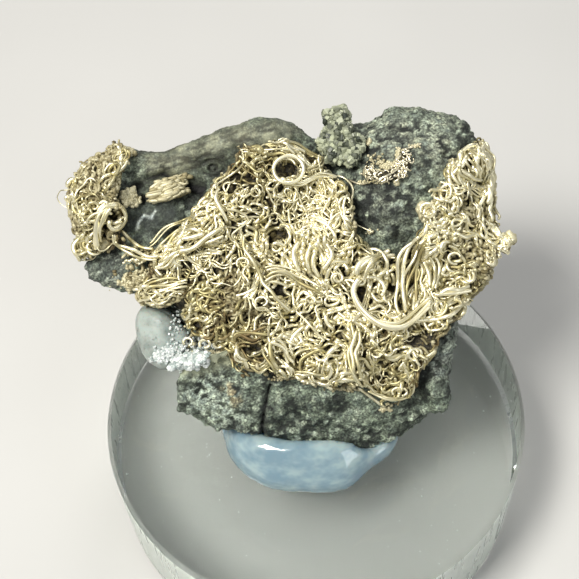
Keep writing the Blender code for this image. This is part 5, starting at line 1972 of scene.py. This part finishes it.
@dataclass
class CalciteLump:
    """The smooth pale lump at the lower left."""

    voxel: float = 0.2
    swell: float = 0.3
    facet_size: float = 2.4

    def build(self) -> Skin:
        """The CAD solid, swollen to its neighbours, smoothed, with soft facets and faint dimples."""
        skin = Skin.of_node("calcite_lump", self.voxel).eased(10)
        facet, _ = grains(skin.points, self.facet_size, 8)
        skin.pushed(self.swell + 0.3 * (0.5 - facet) + 0.1 * layered(skin.points, 1.8, 3, 2)).eased(2)
        skin.made("lump_surface", "grey_calcite", [CalciteFinish().material()], ["calcite_lump"])
        return skin


@dataclass
class LooseSilver:
    """Silver that sits on the rock apart from the mat: a block of thin plates, and small crumbs."""

    seed: int = 51
    block_corner: Pixel = (151, 204)
    block_across: Pixel = (34, -9)
    block_up: Pixel = (3, -22)
    rows: int = 9
    row_plates: int = 7
    lift: tuple[float, float] = (-0.1, 0.15)
    clusters: tuple[Cluster, ...] = (
        Cluster((129, 196), (3.4, 3.2), 80, 0.3, -0.3), Cluster((136, 202), (3.0, 2.0), 20, 0.24, 0.0),
        Cluster((353, 140.5), (1.6, 2.0), 9, 0.3, 0.0), Cluster((366, 142), (2.2, 1.6), 9, 0.24, 0.1),
        Cluster((386, 410), (3.0, 1.2), 14, 0.2, 0.1), Cluster((422, 211), (3.0, 2.4), 22, 0.4, 0.0),
        Cluster((434, 213), (3.0, 2.2), 20, 0.34, 0.0), Cluster((426, 219), (3.0, 1.4), 10, 0.28, 0.1),
        Cluster((370, 231), (2.5, 1.2), 12, 0.13, 0.0), Cluster((396.5, 182.5), (1.2, 1.0), 6, 0.3, 0.0),
        Cluster((400, 160), (2.4, 6.5), 120, 0.17, 0.0), Cluster((388, 168), (6.0, 4.0), 130, 0.16, 0.05),
        Cluster((376, 160), (4.0, 4.0), 30, 0.13, 0.2), Cluster((414, 146), (4.0, 0.9), 24, 0.13, 0.0),
        Cluster((372, 182), (9.0, 1.0), 50, 0.13, 0.0), Cluster((121, 146), (3.2, 4.2), 70, 0.26, 0.0),
        Cluster((128, 152), (3.0, 3.0), 40, 0.24, 0.1), Cluster((127, 284), (6.0, 3.6), 60, 0.1, 0.05),
        Cluster((130, 283), (4.5, 3.0), 50, 0.22, 0.0), Cluster((142, 279), (7.0, 4.5), 60, 0.24, 0.1),
        Cluster((141, 278), (8.0, 5.5), 90, 0.11, 0.25), Cluster((213, 353), (11.0, 1.0), 120, 0.17, 0.0),
        Cluster((288, 378), (10.0, 1.2), 40, 0.15, 0.35), Cluster((318, 383), (10.0, 1.3), 50, 0.15, 0.3),
        Cluster((345, 389), (8.0, 1.2), 40, 0.15, 0.3), Cluster((511, 237), (0.9, 0.9), 6, 0.5, 0.15),
        Cluster((505, 250), (0.9, 0.9), 5, 0.4, 0.1), Cluster((499, 235), (1.5, 1.0), 6, 0.3, 0.2),
        Cluster((104, 244), (1.0, 1.2), 4, 0.45, 0.25),
    )

    def plates(self, relief: Relief, random: np.random.Generator) -> Skin:
        """Thin plates in rows one above the other, each row a step further up the block.

        Args:
            relief: The front's height.
            random: The source of the draws.

        Returns:
            One surface with all the plates.
        """
        row, place = (a.ravel() for a in np.mgrid[0:self.rows, 0:self.row_plates])
        across = (place + random.uniform(0.2, 0.8, row.size)) / self.row_plates
        up = (row + random.uniform(0.35, 0.65, row.size)) / self.rows
        pixels = np.array(self.block_corner) + across[:, None] * np.array(self.block_across)
        pixels = pixels + up[:, None] * np.array(self.block_up)
        centres = FACE.to_world(relief.drape(pixels, random.uniform(0.05, 0.4, row.size)))
        half = np.stack([random.uniform(0.3, 1.15, row.size), random.uniform(0.1, 0.3, row.size),
                         random.uniform(0.3, 0.6, row.size)], -1)
        slant = np.radians(random.normal(14.0, 13.0, row.size))[:, None]
        u, v, n = FACE.axes()
        along, rise = np.cos(slant) * u + np.sin(slant) * v, np.cos(slant) * v - np.sin(slant) * u
        turns = np.stack([along, rise, np.broadcast_to(n, along.shape)], 1)
        tone = np.clip(random.normal(0.2, 0.2, row.size), 0.0, 1.0)
        return blocks(centres, half, turns, 0.55, tone, 10, 6)

    def build(self, relief: Relief) -> bpy.types.Object:
        """The plates and the clusters, each grain draped on the front at its own pixel.

        Args:
            relief: The front's height.

        Returns:
            The piece.
        """
        random = np.random.default_rng(self.seed)
        skins = [self.plates(relief, random)]
        for cluster in self.clusters:
            centres = relief.scattered(random, cluster.centre, cluster.spread, cluster.count, self.lift)
            half = cluster.half_size * random.uniform(0.6, 1.3, centres.shape)
            tone = np.clip(random.normal(cluster.tarnish, 0.12, len(centres)), 0.0, 1.0)
            skins.append(blocks(centres, half, turned(len(centres), random), 0.6, tone))
        silver = bpy.data.materials["crusted_silver"]
        return Skin.joined(skins).made("loose_silver", "native_silver", [silver])


@dataclass
class BaseDust:
    """Specks of pale dust on the base's top face."""

    count: int = 260
    seed: int = 63
    reach: float = 24.4
    top: float = 12.7
    half_size: tuple[float, float] = (0.02, 0.085)

    def build(self) -> bpy.types.Object:
        """Small grains spread evenly over the disc: the radius is the root of an even draw."""
        random = np.random.default_rng(self.seed)
        turn = random.uniform(0.0, TAU, self.count)
        out = self.reach * np.sqrt(random.uniform(0.0, 1.0, self.count))
        half = random.uniform(*self.half_size, (self.count, 1)) * random.uniform(0.6, 1.5, (self.count, 3))
        centres = np.stack([out * np.cos(turn), out * np.sin(turn), self.top + 0.7 * half.min(1)], -1)
        pale = np.broadcast_to(linear(214, 220, 218), (self.count, 3))
        specks = blocks(centres, half, turned(self.count, random), 0.7, pale)
        return specks.made("base_dust", "white_crystal", [CrystalFinish("pale_dust", 0.6, 0.0).material()])


@dataclass(frozen=True)
class Lamp:
    """A square soft light: its place and side in metres, its power in watts and its colour."""

    name: str
    place: tuple[float, float, float]
    size: float
    power: float
    colour: Rgb


@dataclass
class Studio:
    """The floor, the lamps and the camera. Its sizes and places are in metres."""

    floor_size: float = 4.0
    floor_drop: float = 0.0002
    world: Rgb = (0.86, 0.88, 0.9)
    world_strength: float = 0.3
    lit: tuple[float, float, float] = (0.0, 0.0, 0.025)
    lamps: tuple[Lamp, ...] = (
        Lamp("key", (-0.17, -0.1, 0.34), 0.13, 1.9, (1.0, 0.98, 0.93)),
        Lamp("fill", (0.28, -0.2, 0.22), 0.2, 0.35, (0.92, 0.96, 1.0)),
        Lamp("rim", (0.08, 0.3, 0.3), 0.16, 0.6, (1.0, 0.98, 0.94)),
    )

    def build(self) -> None:
        """Lays the floor, hangs the lamps, all turned to the specimen, and sets the camera."""
        bpy.context.scene.view_settings.view_transform = "Standard"
        half, low = self.floor_size / 2, -self.floor_drop
        mesh = bpy.data.meshes.new("floor")
        corners = [(-half, -half, low), (half, -half, low), (half, half, low), (-half, half, low)]
        mesh.from_pydata(corners, [], [(0, 1, 2, 3)])
        mesh.materials.append(FloorFinish().material())
        linked("floor", mesh)
        for lamp in self.lamps:
            light = bpy.data.lights.new(lamp.name, "AREA")
            light.size, light.energy, light.color = lamp.size, lamp.power, lamp.colour
            back = unit(np.array(lamp.place) - np.array(self.lit))
            side = unit(np.cross([0.0, 0.0, 1.0], back))
            posed(lamp.name, light, (side, np.cross(back, side), back), lamp.place)
        sky = bpy.data.worlds.new("studio")
        sky.use_nodes = True
        glow = sky.node_tree.nodes["Background"]
        glow.inputs["Color"].default_value = (*self.world, 1.0)
        glow.inputs["Strength"].default_value = self.world_strength
        bpy.context.scene.world = sky
        bpy.context.scene.camera = VIEW.camera()


def main() -> None:
    """Builds the specimen's pieces in order, then the studio."""
    logging.basicConfig(level=logging.INFO, format="%(message)s")
    AcrylicBase().build()
    GlueBlob().build()
    rock = MatrixRock().build()
    lump = CalciteLump().build()
    mat = SilverMat()
    felt = mat.felt()
    relief = Relief(np.concatenate([felt.points, rock.points, lump.points]), RELIEF_CELL)
    mat.build(felt, rock, relief)
    DomePatch().build(rock)
    LooseSilver().build(relief)
    KNOB.build(relief)
    DRUSE.build(relief)
    BaseDust().build()
    Studio().build()


if __name__ == "__main__":
    main()
